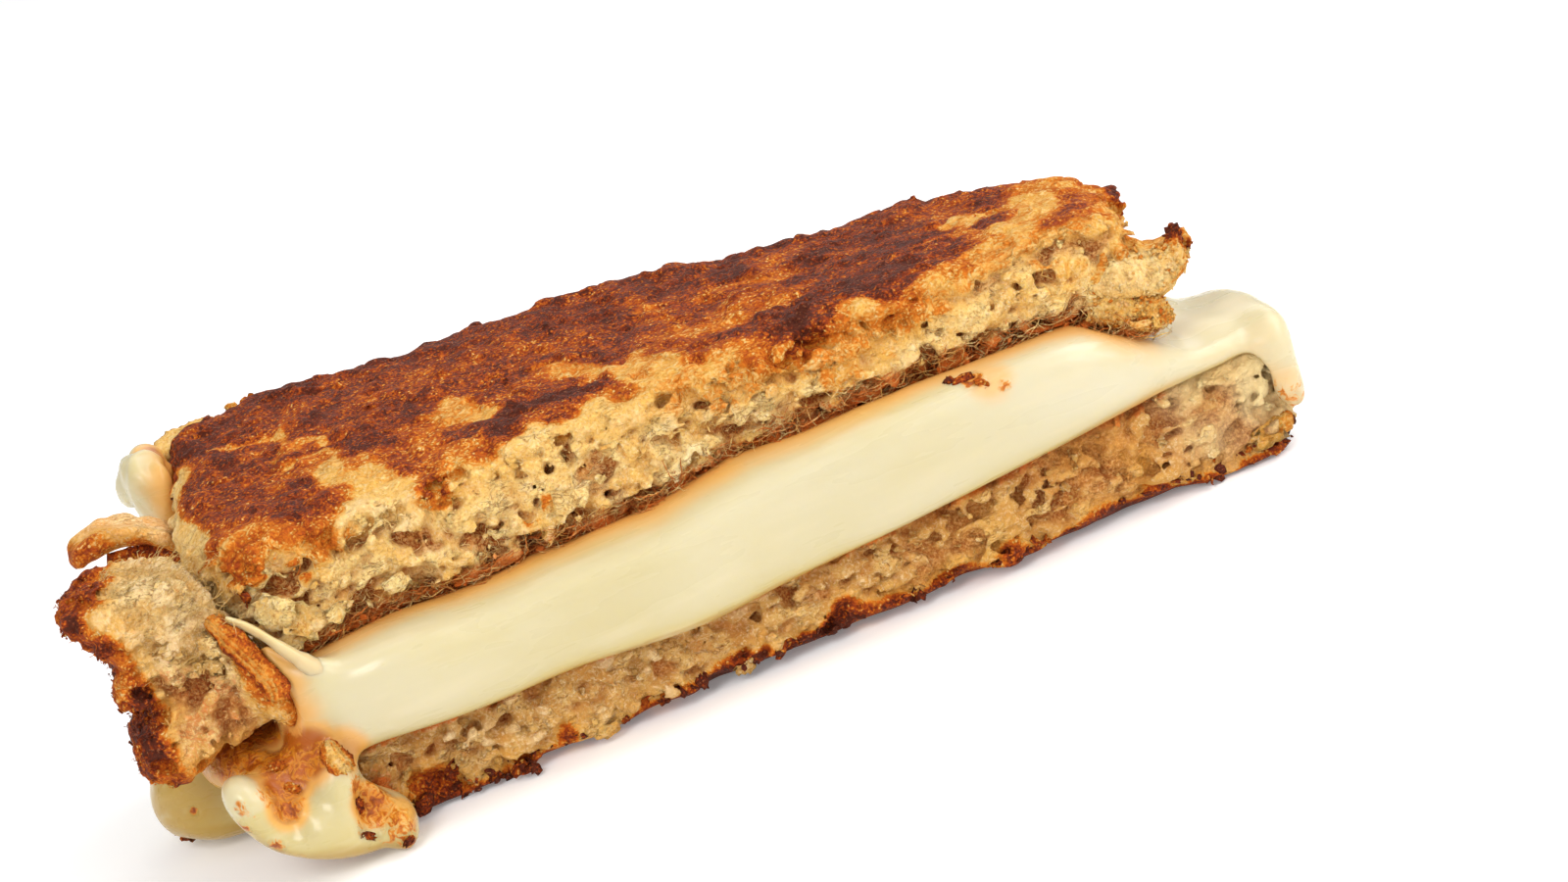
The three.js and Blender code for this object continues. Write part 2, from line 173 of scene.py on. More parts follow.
class Lattice:
    """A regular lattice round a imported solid, on which forms are kept as signed distances, negative inside."""

    def __init__(self, node, margin=3.0):
        points, _ = node_mesh(node)
        self.node, self.pitch = node, STANDS_FOR[node][2] * COARSE
        self.low = points.min(0) - margin
        self.shape = tuple(np.ceil((np.ptp(points, 0) + 2 * margin) / self.pitch).astype(int))
        rows = [self.low[axis] + self.pitch * np.arange(n) for axis, n in enumerate(self.shape)]
        self.axes = [on_axis(row, axis) for axis, row in enumerate(rows)]

    def distance(self, *nodes, reach=4.0):
        """Signed distance to the nearest of these solids, cut off at reach."""
        nearest = np.full(self.shape, reach, np.float32)
        for node in nodes:
            points, triangles = node_mesh(node)
            grid = openvdb.FloatGrid.createLevelSetFromPolygons(
                (points - self.low).astype(np.float32),
                triangles=triangles.astype(np.uint32),
                transform=openvdb.createLinearTransform(self.pitch),
                halfWidth=reach / self.pitch,
            )
            dense = np.empty(self.shape, np.float32)
            grid.copyToArray(dense)
            nearest = np.minimum(nearest, dense)
        return nearest

    def blurred(self, field, sigma):
        spectrum = np.fft.rfftn(field)
        for axis, count in enumerate(self.shape):
            waves = np.fft.rfftfreq(count) if axis == 2 else np.fft.fftfreq(count)
            spectrum *= on_axis(np.exp(-2 * (np.pi * waves * sigma / self.pitch) ** 2), axis)
        return np.fft.irfftn(spectrum, s=self.shape).astype(np.float32)

    def noise(self, size, seed, stretch=(1, 1, 1)):
        """Smooth noise of unit deviation, whose bumps are about size across."""
        tables = [spline_weights(n, self.pitch / (size * s)) for n, s in zip(self.shape, stretch)]
        knots = np.random.default_rng(seed).standard_normal([t.shape[1] for t in tables])
        field = knots.astype(np.float32)
        for table in tables:
            field = np.tensordot(field, table, (0, 1))
        return field / max(1e-6, field.std())

    def crags(self, size, seed, stretch=(1, 1, 1)):
        """Lumps with sharp creases between them, about size across, from -0.95 to 0.9."""
        return np.minimum(1.2 * np.abs(self.noise(size, seed, stretch)) - 0.95, 0.9)

    def slopes(self, field):
        """The unit normal of the field at every place, as three arrays."""
        gradient = np.gradient(field, self.pitch)
        length = np.sqrt(sum(g * g for g in gradient)) + 1e-6
        return [g / length for g in gradient]

    def sample(self, field, points):
        field = np.broadcast_to(field, self.shape)
        at = (points - self.low) / self.pitch
        cell = np.clip(np.floor(at).astype(int), 0, np.array(self.shape) - 2)
        t = np.clip(at - cell, 0, 1)
        total = np.zeros(len(points), np.float32)
        for corner in range(8):
            step = np.array([corner & 1, corner >> 1 & 1, corner >> 2])
            weight = np.prod(np.where(step, t, 1 - t), axis=1)
            total += weight * field[tuple((cell + step).T)]
        return total

    def sample_noise(self, points, *sizes_and_seeds):
        return [self.sample(self.noise(size, seed), points) for size, seed in sizes_and_seeds]

    def carve(self, field, ellipsoids):
        """Cuts ellipsoids out of a form, each a centre, three radii and a turn about y."""
        for centre, radius, turn in ellipsoids:
            centre = np.asarray(centre)
            reach = max(radius) * CARVE_REACH
            first = np.floor((centre - reach - self.low) / self.pitch).astype(int)
            last = np.ceil((centre + reach - self.low) / self.pitch).astype(int) + 1
            first, last = np.maximum(first, 0), np.minimum(last, self.shape)
            if (last <= first).any():
                continue
            window = tuple(slice(a, b) for a, b in zip(first, last))
            dx, dy, dz = (
                on_axis(self.low[a] + self.pitch * np.arange(first[a], last[a]) - centre[a], a) for a in range(3)
            )
            c, s = math.cos(turn), math.sin(turn)
            u, w = c * dx + s * dz, c * dz - s * dx
            share = np.sqrt((u / radius[0]) ** 2 + (dy / radius[1]) ** 2 + (w / radius[2]) ** 2)
            field[window] = np.maximum(field[window], (1 - share) * min(radius))

    def swell(self, field, balls):
        """Joins ellipsoids, each a centre and three radii, to a form."""
        x, y, z = self.axes
        for cx, cy, cz, rx, ry, rz in balls:
            share = np.sqrt(((x - cx) / rx) ** 2 + ((y - cy) / ry) ** 2 + ((z - cz) / rz) ** 2)
            field = np.minimum(field, (share - 1) * min(rx, ry, rz))
        return field

    def boxed(self, field):
        """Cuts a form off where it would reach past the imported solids."""
        for axis, places in enumerate(self.axes):
            field = most(field, BOX_LOW[axis] + BOX_CLEAR - places, places - BOX_HIGH[axis] + BOX_CLEAR)
        return field

    def places_on(self, field, mask, count, seed):
        """Random places on the form's surface, where mask holds."""
        found = np.argwhere((np.abs(field) < ON_SURFACE * self.pitch) & mask)
        rng = np.random.default_rng(seed)
        chosen = found[rng.integers(0, len(found), count)]
        return self.low + self.pitch * (chosen + rng.uniform(-0.5, 0.5, (count, 3)))


class Holes:
    """Ellipsoids that are bored into a form."""

    def __init__(self, lattice, seed=0):
        self.lattice, self.rng = lattice, np.random.default_rng(seed)
        self.cut = np.full(lattice.shape, UNCUT, np.float32)

    def scatter(self, surface, mask, count, seed, size, shape, turn, inward=0.0):
        """Bores at random places of a surface; size is the least one, its spread and the power that favours least."""
        centres = self.lattice.places_on(surface, mask, count, seed) + [0, inward, 0]
        least, spread, power = size
        sizes = least + spread * self.rng.random(count) ** power
        self.lattice.carve(self.cut, zip(centres, sizes[:, None] * shape, self.rng.normal(0, turn, count)))

    def named(self, y, holes):
        """Bores the holes of a list, at one depth: each its x and z, three radii and a turn."""
        self.lattice.carve(self.cut, [((px, y, pz), radii, turn) for px, pz, *radii, turn in holes])

    def taken_from(self, field, seed, ragged):
        """The form without the holes, whose outline is made ragged."""
        noise = self.lattice.noise
        cut = self.cut + ragged * noise(0.9, seed) + 0.6 * ragged * noise(1.8, seed + 1)
        return np.maximum(field, np.where(self.cut > HOLE_RIM, cut, UNCUT))


# ---------------- meshes


def largest_part(points, quads):
    """Drops every loose scrap of a mesh but its largest part."""
    label = np.arange(len(points))
    edges = np.concatenate([quads[:, [0, 1]], quads[:, [1, 2]], quads[:, [2, 3]]])
    while True:
        low = np.minimum(label[edges[:, 0]], label[edges[:, 1]])
        new = label.copy()
        np.minimum.at(new, edges[:, 0], low)
        np.minimum.at(new, edges[:, 1], low)
        new = new[new]
        if (new == label).all():
            break
        label = new
    values, counts = np.unique(label, return_counts=True)
    kept = label == values[counts.argmax()]
    order = np.cumsum(kept) - 1
    return points[kept], order[quads[kept[quads[:, 0]]]]


def shade_smooth(mesh):
    mesh.polygons.foreach_set("use_smooth", np.ones(len(mesh.polygons), bool))


def new_piece(name, points, faces, slot, smooth=True):
    """A piece from points in mm. It rides on the part's one body."""
    mesh = bpy.data.meshes.new(name)
    mesh.from_pydata(((points + ORIGIN) * MM).tolist(), [], faces.tolist())
    mesh.materials.append(MATERIALS[slot])
    piece = bpy.data.objects.new(name, mesh)
    bpy.context.scene.collection.objects.link(piece)
    if smooth:
        shade_smooth(mesh)
    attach(piece, "root")
    return piece


def mesh_of(lattice, field):
    """Meshes a form, thins it to its limit of triangles and makes it the piece that stands for its solid."""
    name, slot, _, limit = STANDS_FOR[lattice.node]
    grid = openvdb.FloatGrid()
    grid.copyFromArray(np.ascontiguousarray(field, np.float32))
    grid.transform = openvdb.createLinearTransform(lattice.pitch)
    points, quads = grid.convertToQuads(0)
    points, quads = largest_part(points + lattice.low, quads.astype(int))
    piece = new_piece(name, points, quads, slot)
    share = limit / (2 * len(quads))
    if share < 1:
        thinned = piece.modifiers.new("thinned", "DECIMATE")
        thinned.ratio = share
        evaluated = piece.evaluated_get(bpy.context.evaluated_depsgraph_get())
        dense = piece.data
        piece.data = bpy.data.meshes.new_from_object(evaluated)
        piece.modifiers.clear()
        bpy.data.meshes.remove(dense)
        piece.data.name = name
    shade_smooth(piece.data)
    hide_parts(lattice.node)
    return piece


def give(piece, **values):
    """Keeps a value for each vertex, for the piece's material to read."""
    for name, value in values.items():
        attribute = piece.data.attributes.new(name, "FLOAT", "POINT")
        value = np.broadcast_to(value, len(piece.data.vertices))
        attribute.data.foreach_set("value", np.ascontiguousarray(value, np.float32))


class Form:
    """A lattice form with its piece: where loose bits find its surface, and which way it faces there."""

    def __init__(self, lattice, field, piece):
        self.lattice, self.field, self.piece = lattice, field, piece
        self.slot = STANDS_FOR[lattice.node][1]
        self.tree = None
        self.slopes = lattice.slopes(lattice.blurred(field, 0.5))

    def places(self, mask, count, seed):
        return self.lattice.places_on(self.field, mask, count, seed)

    def read(self, name, places):
        """The value that the form's piece keeps nearest to each place."""
        mesh = self.piece.data
        if self.tree is None:
            self.tree = KDTree(len(mesh.vertices))
            for index, point in enumerate(mesh_points(mesh)):
                self.tree.insert(point, index)
            self.tree.balance()
        values = np.empty(len(mesh.vertices), np.float32)
        mesh.attributes[name].data.foreach_get("value", values)
        return values[[self.tree.find(place)[1] for place in places]]

    def out(self, points):
        return unit(np.stack([self.lattice.sample(slope, points) for slope in self.slopes], 1), 1e-6)

    def settled(self, points):
        """Moves places that lie near the form's surface onto it."""
        for _ in range(3):
            off = np.clip(self.lattice.sample(self.field, points), -3, 3)
            points = points - self.out(points) * off[:, None]
        return points


def copies(faces, count, step):
    """The triangles of count copies of a mesh, each of step points."""
    return (faces[None] + step * np.arange(count)[:, None, None]).reshape(-1, 3)


CRUMB_SQUASH = 0.4


def crumbs(places, out, sizes, seed):
    """Small irregular chips, thin along a direction near out."""
    rng = np.random.default_rng(seed)
    form = bmesh.new()
    bmesh.ops.create_icosphere(form, subdivisions=1, radius=1)
    ball = np.array([v.co for v in form.verts])
    faces = np.array([[v.index for v in face.verts] for face in form.faces])
    form.free()
    count = len(places)
    out = unit(out + rng.normal(0, 0.55, (count, 3)))
    along = unit(np.cross(out, rng.standard_normal((count, 3))))
    across = np.cross(out, along)
    wide = rng.uniform(0.7, 1.6, (count, 3)) * [1, 1, CRUMB_SQUASH]
    shaped = ball[None] * rng.uniform(0.5, 1.35, (count, len(ball), 1)) * wide[:, None]
    axes = np.stack([along, across, out], 1)
    points = places[:, None] + np.einsum("nvk,nkj->nvj", shaped, axes) * sizes[:, None, None]
    return points.reshape(-1, 3), copies(faces, count, len(ball))


FIBRE_RINGS, FIBRE_SIDES = 6, 3
FIBRE_STRAY = 0.12  # how far a fibre strays sideways, as a share of its length


def fibres(starts, along, out, lengths, radius, bow, seed):
    """Thin threads that start at a place, run along and bow outward; their ends taper."""
    rng = np.random.default_rng(seed)
    count = len(starts)
    t = np.linspace(0, 1, FIBRE_RINGS)[None, :, None]
    side = np.cross(along, out)
    arch = 4 * t * (1 - t)
    wiggle = rng.normal(0, 0.4 * FIBRE_STRAY, (count, FIBRE_RINGS, 3)) * lengths[:, None, None] * arch
    sway = rng.normal(0, FIBRE_STRAY, (count, 1, 1)) * lengths[:, None, None] * arch
    path = starts[:, None] + along[:, None] * t * lengths[:, None, None] + side[:, None] * sway + wiggle
    path += out[:, None] * arch * (bow * lengths)[:, None, None]
    turn = 2 * math.pi * np.arange(FIBRE_SIDES) / FIBRE_SIDES
    ring = np.cos(turn)[:, None] * side[:, None, None] + np.sin(turn)[:, None] * out[:, None, None]
    taper = (0.35 + 0.65 * arch)[..., None]
    points = path[:, :, None] + ring * taper * np.reshape(radius, (-1, 1, 1, 1))
    faces = []
    for r in range(FIBRE_RINGS - 1):
        for k in range(FIBRE_SIDES):
            a, b = r * FIBRE_SIDES + k, r * FIBRE_SIDES + (k + 1) % FIBRE_SIDES
            c, d = a + FIBRE_SIDES, b + FIBRE_SIDES
            faces += [(a, b, d), (a, d, c)]
    last = (FIBRE_RINGS - 1) * FIBRE_SIDES
    faces += [(2, 1, 0), (last, last + 1, last + 2)]
    return points.reshape(-1, 3), copies(np.array(faces), count, FIBRE_RINGS * FIBRE_SIDES)


def sheet_faces(rows, columns):
    """The triangles of two grids of points, the second behind the first, closed round their rim."""
    n = rows * columns
    faces = []
    for i in range(rows - 1):
        for j in range(columns - 1):
            a = i * columns + j
            b, c, d = a + columns, a + columns + 1, a + 1
            faces += [(a, b, c), (a, c, d), (a + n, c + n, b + n), (a + n, d + n, c + n)]
    rim = [i * columns for i in range(rows)] + [n - columns + j for j in range(1, columns)]
    rim += [i * columns + columns - 1 for i in range(rows - 2, -1, -1)] + list(range(columns - 2, 0, -1))
    for a, b in zip(rim, rim[1:] + rim[:1]):
        faces += [(b, a, a + n), (b, a + n, b + n)]
    return np.array(faces)


FLAKE_POINTS = 7  # along each side of a flake
FLAKE_CURL = 0.25


def flakes(places, out, along, sizes, seed, thick):
    """Thin crumpled plates with a ragged edge, each facing out and stretched along."""
    rng = np.random.default_rng(seed)
    count, n = len(places), FLAKE_POINTS
    grid = np.linspace(-1, 1, n)
    u, v = (g.ravel() for g in np.meshgrid(grid, grid, indexing="ij"))
    edge = np.maximum(abs(u), abs(v)) > 0.99
    along = unit(along - out * (along * out).sum(1, keepdims=True))
    across = np.cross(out, along)
    ragged = 1 - edge * rng.uniform(0, 0.4, (count, n * n))
    pu, pv = u * np.sqrt(1 - 0.42 * v**2) * ragged, v * np.sqrt(1 - 0.42 * u**2) * ragged
    waves = rng.normal(0, 1, (count, 4, 1))
    height = waves[:, 0] * u * v + waves[:, 1] * (u**2 - 0.4) + waves[:, 2] * (v**2 - 0.4) + 0.5 * waves[:, 3] * u**3
    height = FLAKE_CURL * height + rng.normal(0, 0.09, (count, n * n))
    half = thick * (0.35 + 0.65 * (1 - np.maximum(abs(u), abs(v)) ** 2)) / 2
    sheets = []
    for sign in (1, -1):
        lift = height * sizes[:, :1] + sign * half + rng.normal(0, 0.03, (count, n * n))
        flat = along[:, None] * (pu * sizes[:, :1])[..., None] + across[:, None] * (pv * sizes[:, 1:2])[..., None]
        sheets.append(places[:, None] + flat + out[:, None] * lift[..., None])
    return np.concatenate(sheets, 1).reshape(-1, 3), copies(sheet_faces(n, n), count, 2 * n * n)


STRIP_ROWS, STRIP_COLUMNS = 48, 15
STRIP_ROUNDS = 8  # how often a strip's path and widths are smoothed


def strip(stops, facing, widths, seed, thick, crown, ridge, wave=0.25, rough=0.0):
    """A band of crust along stops, with a half width at each: points, triangles, grooves and the way along."""
    rows, columns = STRIP_ROWS, STRIP_COLUMNS
    stops = np.array(stops, float)
    at = np.linspace(0, len(stops) - 1, rows)
    path = np.stack([np.interp(at, np.arange(len(stops)), stops[:, k]) for k in range(3)], 1)
    half = np.interp(at, np.arange(len(stops)), widths)[:, None]
    for _ in range(STRIP_ROUNDS):
        path[1:-1] = (path[:-2] + 2 * path[1:-1] + path[2:]) / 4
        half[1:-1] = (half[:-2] + 2 * half[1:-1] + half[2:]) / 4
    ahead = unit(np.gradient(path, axis=0))
    facing = unit(np.array(facing, float))
    out = unit(facing - ahead * (ahead @ facing)[:, None])
    side = np.cross(ahead, out)
    t = np.linspace(0, 1, rows)[:, None]
    v = np.linspace(-1, 1, columns)[None, :]
    rng = np.random.default_rng(seed)
    ridges = rng.normal(0, 1, columns)[None, :] * np.ones((rows, 1)) + 0.35 * rng.normal(0, 1, (rows, columns))
    ragged = np.convolve(rng.normal(0, 1, rows + 4), np.ones(5) / 5, "valid")[:, None]
    half = half * (1 + 0.08 * np.sin(9 * t) + 0.14 * ragged)
    lift = crown * (1 - v**2) + ridge * ridges + wave * np.sin(7 * t + 1)
    grain = rng.normal(0, 1, (2, rows + 2, columns + 2))
    broad = sum(grain[1, i : i + rows, j : j + columns] for i in range(3) for j in range(3)) / 3
    lift = lift + rough * (0.6 * grain[0, 1:-1, 1:-1] + broad)
    sheets = []
    for sign in (1, -1):
        rise = lift + sign * thick * (1 - v**4)
        sheets.append(path[:, None] + side[:, None] * (half * v)[..., None] + out[:, None] * rise[..., None])
    points = np.concatenate([sheet.reshape(-1, 3) for sheet in sheets])
    across = np.tile(np.abs(v), (rows, 1)).ravel()
    along = np.tile(t, (1, columns)).ravel()
    grooves = 0.22 * across**2 + 0.07 * np.clip(ridges.ravel(), -2, 2)
    return points, sheet_faces(rows, columns), np.tile(grooves, 2), np.tile(along, 2)


def joined(name, parts, slot, smooth=True, **values):
    """One piece from many loose bits, each part its points and triangles, with values for every point."""
    points = np.concatenate([part[0] for part in parts])
    steps = np.cumsum([0] + [len(part[0]) for part in parts[:-1]])
    faces = np.concatenate([part[1] + step for part, step in zip(parts, steps)])
    give(new_piece(name, np.clip(points, BOX_LOW, BOX_HIGH), faces, slot, smooth), **values)


# ---------------- materials


def linear(red, green, blue):
    """A colour given as on a screen, 0 to 255, as Blender holds it."""
    return tuple(((c / 255 + 0.055) / 1.055) ** 2.4 if c > 10 else c / 255 / 12.92 for c in (red, green, blue)) + (1.0,)


class Paint:
    """A node material, built by short calls. Values are numbers, colours or the outputs of other calls."""

    def __init__(self, name):
        self.material = bpy.data.materials.new(name)
        self.material.use_nodes = True
        self.tree = self.material.node_tree
        self.surface = self.tree.nodes["Principled BSDF"]
        self.place = self.add("ShaderNodeTexCoord", {}).outputs["Object"]

    def put(self, socket, value):
        if isinstance(value, bpy.types.NodeSocket):
            self.tree.links.new(value, socket)
        else:
            socket.default_value = value

    def add(self, kind, values, **settings):
        node = self.tree.nodes.new(kind)
        for name, value in settings.items():
            setattr(node, name, value)
        for socket, value in values.items():
            self.put(node.inputs[socket], value)
        return node

    def set(self, **values):
        for name, value in values.items():
            self.put(self.surface.inputs[name.replace("_", " ")], value)

    def attributes(self, *names):
        return [self.add("ShaderNodeAttribute", {}, attribute_name=name).outputs["Fac"] for name in names]

    def noise(self, size, detail, rough=0.55, warp=0.0, stretch=None):
        place = self.place
        if stretch:
            place = self.add("ShaderNodeMapping", {"Vector": place, "Scale": [1 / s for s in stretch]}).outputs[0]
        values = {"Vector": place, "Scale": 1 / (size * MM), "Detail": detail, "Roughness": rough, "Distortion": warp}
        return self.add("ShaderNodeTexNoise", values).outputs["Fac"]

    def cells(self, size):
        values = {"Vector": self.place, "Scale": 1 / (size * MM)}
        return self.add("ShaderNodeTexVoronoi", values).outputs["Distance"]

    def math(self, operation, a, b=0.0, clamp=False):
        return self.add("ShaderNodeMath", {0: a, 1: b}, operation=operation, use_clamp=clamp).outputs[0]

    def plus(self, a, b, clamp=False):
        return self.math("ADD", a, b, clamp)

    def minus(self, a, b):
        return self.math("SUBTRACT", a, b)

    def times(self, a, b):
        return self.math("MULTIPLY", a, b)

    def greater(self, a, b):
        return self.math("MAXIMUM", a, b)

    def span(self, value, low, high, start=0.0, end=1.0):
        """Goes smoothly from start to end while value goes from low to high."""
        values = {"Value": value, "From Min": low, "From Max": high, "To Min": start, "To Max": end}
        return self.add("ShaderNodeMapRange", values, interpolation_type="SMOOTHSTEP").outputs[0]

    def mix(self, share, a, b):
        node = self.add("ShaderNodeMix", {}, data_type="RGBA")
        for socket, value in ((0, share), (6, a), (7, b)):
            self.put(node.inputs[socket], value)
        return node.outputs[2]

    def laid(self, colour, *coats):
        """A colour under coats: each a colour, a value, where the value begins and ends to tell, and how much."""
        for over, value, low, high, share in coats:
            colour = self.mix(self.span(value, low, high, 0, share), colour, over)
        return colour

    def ramp(self, value, *stops):
        node = self.add("ShaderNodeValToRGB", {"Fac": value})
        elements = node.color_ramp.elements
        elements[0].color, elements[1].color = stops[0][1], stops[-1][1]
        for at, colour in stops[1:-1]:
            elements.new(at).color = colour
        return node.outputs["Color"]

    def bump(self, height, distance, strength, under=None):
        values = {"Height": height, "Distance": distance * MM, "Strength": strength}
        if under is not None:
            values["Normal"] = under
        return self.add("ShaderNodeBump", values).outputs["Normal"]


CHAR = linear(84, 34, 17)
MAROON = linear(116, 42, 15)
RED_BROWN = linear(152, 60, 14)
BROWN = linear(188, 88, 20)
ORANGE_BROWN = linear(214, 122, 32)
GOLDEN = linear(230, 168, 70)
HONEY = linear(240, 194, 108)
# PALE lightens flecks of crumb and, on crests, is a painted highlight.
PALE = linear(255, 232, 186)
MILKY = linear(246, 226, 168)
# CAVITY darkens grain flecks and holes, and the next colour darkens deep holes and slits; in holes and slits both are
# painted shade.
CAVITY = linear(196, 124, 58)
DEEP_SHADE = linear(158, 80, 32)
OILY = linear(208, 100, 28)
OILY_LIGHT = linear(242, 164, 76)
OILY_DARK = linear(120, 46, 18)
# Painted glints on the toast.
PAINTED_GLINT = linear(206, 128, 82)


def bread_paint(name, crumb_light, crumb_dark):
    """Toasted bread. It reads how toasted, how deep in a hole and how oily with cheese each place is; depth darkens it
    as painted shade and crests are lightened as painted highlight.
    """
    paint = Paint(name)
    toast, hole, soak, milk = paint.attributes("toast", "hole", "soak", "milk")
    grain = paint.noise(0.38, detail=3, rough=0.65)
    fibre = paint.noise(0.95, detail=5, rough=0.68, warp=1.4)
    cloud = paint.noise(4.2, detail=3)
    granule = paint.span(paint.cells(0.5), 0.1, 0.62, 1, 0)
    # The crumb's own flecks of grain; where the hole value is high it darkens with depth, which is painted shade.
    crumb = paint.laid(
        crumb_dark,
        (crumb_light, cloud, 0.36, 0.64, 1),
        (PALE, fibre, 0.5, 0.7, 0.6),
        (CAVITY, fibre, 0.44, 0.3, 0.58),
        (CAVITY, grain, 0.48, 0.32, 0.6),
        (PALE, grain, 0.54, 0.68, 0.5),
        (CAVITY, hole, 0.15, 0.9, 0.7),
    )
    # Painted shade deep in holes, and a painted highlight on crests.
    crumb = paint.mix(paint.times(paint.span(hole, 0.5, 1.0), paint.span(grain, 0.6, 0.4)), crumb, DEEP_SHADE)
    crumb = paint.laid(crumb, (PALE, hole, -0.05, -0.5, 0.4))
    # Thin dark slits, painted shade of crevices in the crumb.
    layers = paint.noise(1.5, detail=4, rough=0.6, warp=0.8, stretch=(2.4, 1, 1))
    slit = paint.span(paint.math("ABSOLUTE", paint.minus(layers, 0.5)), 0.0, 0.024, 1, 0)
    slit = paint.times(slit, paint.span(cloud, 0.48, 0.58))
    crumb = paint.mix(paint.times(slit, 0.6), crumb, DEEP_SHADE)
    crumb = paint.mix(paint.times(milk, 0.7), crumb, MILKY)
    # The oil darkens with depth in a hole, as painted shade.
    oil = paint.laid(OILY, (OILY_DARK, hole, 0.3, 0.9, 1), (OILY_LIGHT, fibre, 0.52, 0.7, 0.6))
    oily = paint.plus(soak, paint.span(fibre, 0.28, 0.72, -0.3, 0.3))
    crumb = paint.laid(crumb, (oil, oily, 0.3, 0.85, 0.95))
    toasted_here = paint.span(toast, 0.05, 0.35)
    deeply = paint.times(toasted_here, paint.span(toast, 0.15, 0.7, 0.3, 1))
    grainy = paint.times(paint.span(granule, 0, 1, 0.17, -0.15), deeply)
    uneven = paint.times(paint.span(fibre, 0.3, 0.7, 0.3, -0.34), deeply)
    mottled = paint.times(paint.span(cloud, 0.3, 0.7, -0.1, 0.1), toasted_here)
    level = paint.plus(paint.plus(toast, paint.plus(grainy, uneven)), mottled, clamp=True)
    stops = [(0.0, HONEY), (0.2, GOLDEN), (0.34, ORANGE_BROWN), (0.5, BROWN), (0.66, RED_BROWN)]
    browned = paint.ramp(level, *stops, (0.82, MAROON), (1.0, CHAR))
    # Painted glints, light specks on the darker toast.
    glint_share = paint.times(paint.span(grain, 0.57, 0.68), paint.span(level, 0.45, 0.8, 0, 0.4))
    browned = paint.mix(glint_share, browned, PAINTED_GLINT)
    rough = paint.span(level, 0.3, 0.9, 0.85, 0.55)
    rough = paint.minus(rough, paint.span(grain, 0.55, 0.75, 0, 0.22))
    rough = paint.minus(rough, paint.span(paint.greater(soak, milk), 0.3, 0.9, 0, 0.35))
    beaded = paint.bump(paint.times(granule, toasted_here), 0.2, 0.7)
    fine = paint.bump(grain, 0.26, 0.9, under=beaded)
    ragged = paint.minus(fibre, paint.times(slit, 0.3))
    paint.set(Base_Color=paint.laid(crumb, (browned, level, 0.0, 0.36, 1)), Roughness=rough)
    paint.set(Normal=paint.bump(ragged, 0.55, 1.0, under=fine), Specular_IOR_Level=0.14)
    paint.set(Subsurface_Weight=0.12, Subsurface_Radius=(1.0, 0.6, 0.3), Subsurface_Scale=0.5 * MM)
    return paint.material


def cheese_paint():
    """Melted cheese. It reads how oily an edge is, how browned a place is and how pale the cheese runs; its darkness on
    the foot and on faces that turn down is painted shade.
    """
    paint = Paint("melted_cheese")
    soak, browned, tone, warm = paint.attributes("soak", "browned", "tone", "warm")
    cloud = paint.noise(14, detail=2, stretch=(2.2, 1, 1))
    streak = paint.noise(3.0, detail=3, rough=0.5, warp=0.2, stretch=(6, 1, 1))
    soft = paint.noise(3.0, detail=1, stretch=(5, 1, 1))
    fleck = paint.noise(1.1, detail=4, rough=0.6, warp=1.0)
    grain = paint.noise(0.6, detail=2)
    shade = paint.plus(tone, paint.span(cloud, 0.3, 0.7, -0.16, 0.16))
    stops = [(0.0, linear(175, 142, 62)), (0.3, linear(193, 176, 118)), (0.5, linear(196, 183, 139))]
    colour = paint.ramp(shade, *stops, (1.0, linear(204, 195, 166)))
    glazed = paint.plus(warm, paint.span(streak, 0.3, 0.7, -0.05, 0.05))
    edge = paint.plus(soak, paint.span(fleck, 0.3, 0.7, -0.25, 0.25))
    colour = paint.laid(
        colour,
        (linear(210, 201, 169), streak, 0.52, 0.75, 0.4),
        (linear(220, 152, 50), glazed, 0.0, 0.5, 0.75),
        (linear(162, 78, 8), glazed, 0.45, 0.95, 0.95),
        (linear(226, 160, 78), edge, 0.35, 1.0, 0.7),
    )
    crust = paint.plus(browned, paint.span(fleck, 0.3, 0.7, -0.3, 0.3), clamp=True)
    stops = [(0.0, linear(232, 178, 74)), (0.4, linear(210, 132, 30)), (0.62, linear(174, 88, 14))]
    brown = paint.ramp(crust, *stops, (1.0, linear(110, 46, 12)))
    here = paint.times(paint.span(crust, 0.18, 0.5), paint.span(browned, 0.02, 0.2))
    rough = paint.plus(paint.span(streak, 0.3, 0.7, 0.24, 0.36), paint.span(browned, 0.2, 0.8, 0, 0.2))
    paint.set(Base_Color=paint.mix(here, colour, brown), Roughness=rough)
    pitted = paint.times(fleck, paint.span(browned, 0.05, 0.4))
    rippled = paint.bump(soft, 0.1, 0.25, under=paint.bump(grain, 0.03, 0.3))
    crusted = paint.greater(glazed, browned)
    paint.set(Normal=paint.bump(pitted, 0.5, 1.0, under=rippled))
    paint.set(Subsurface_Weight=paint.span(crusted, 0.05, 0.45, 0.75, 0.04))
    paint.set(Subsurface_Radius=(1.0, 0.85, 0.5), Subsurface_Scale=1.9 * MM)
    paint.set(Coat_Weight=paint.span(crusted, 0.05, 0.4, 0.22, 0.02))
    paint.set(Specular_IOR_Level=0.34, Coat_Roughness=0.16)
    return paint.material


# The material of each slot.
MATERIALS = {
    "toasted_bread": bread_paint("toasted_bread", linear(250, 218, 144), linear(238, 188, 100)),
    "bread_crumb": bread_paint("bread_crumb", linear(228, 184, 108), linear(202, 146, 72)),
    "torn_crust": bread_paint("torn_crust", linear(240, 204, 134), linear(222, 172, 94)),
    "crust_ribbon": bread_paint("crust_ribbon", linear(250, 206, 140), linear(228, 162, 88)),
    "cheese": cheese_paint(),
}


# ---------------- the upper slice

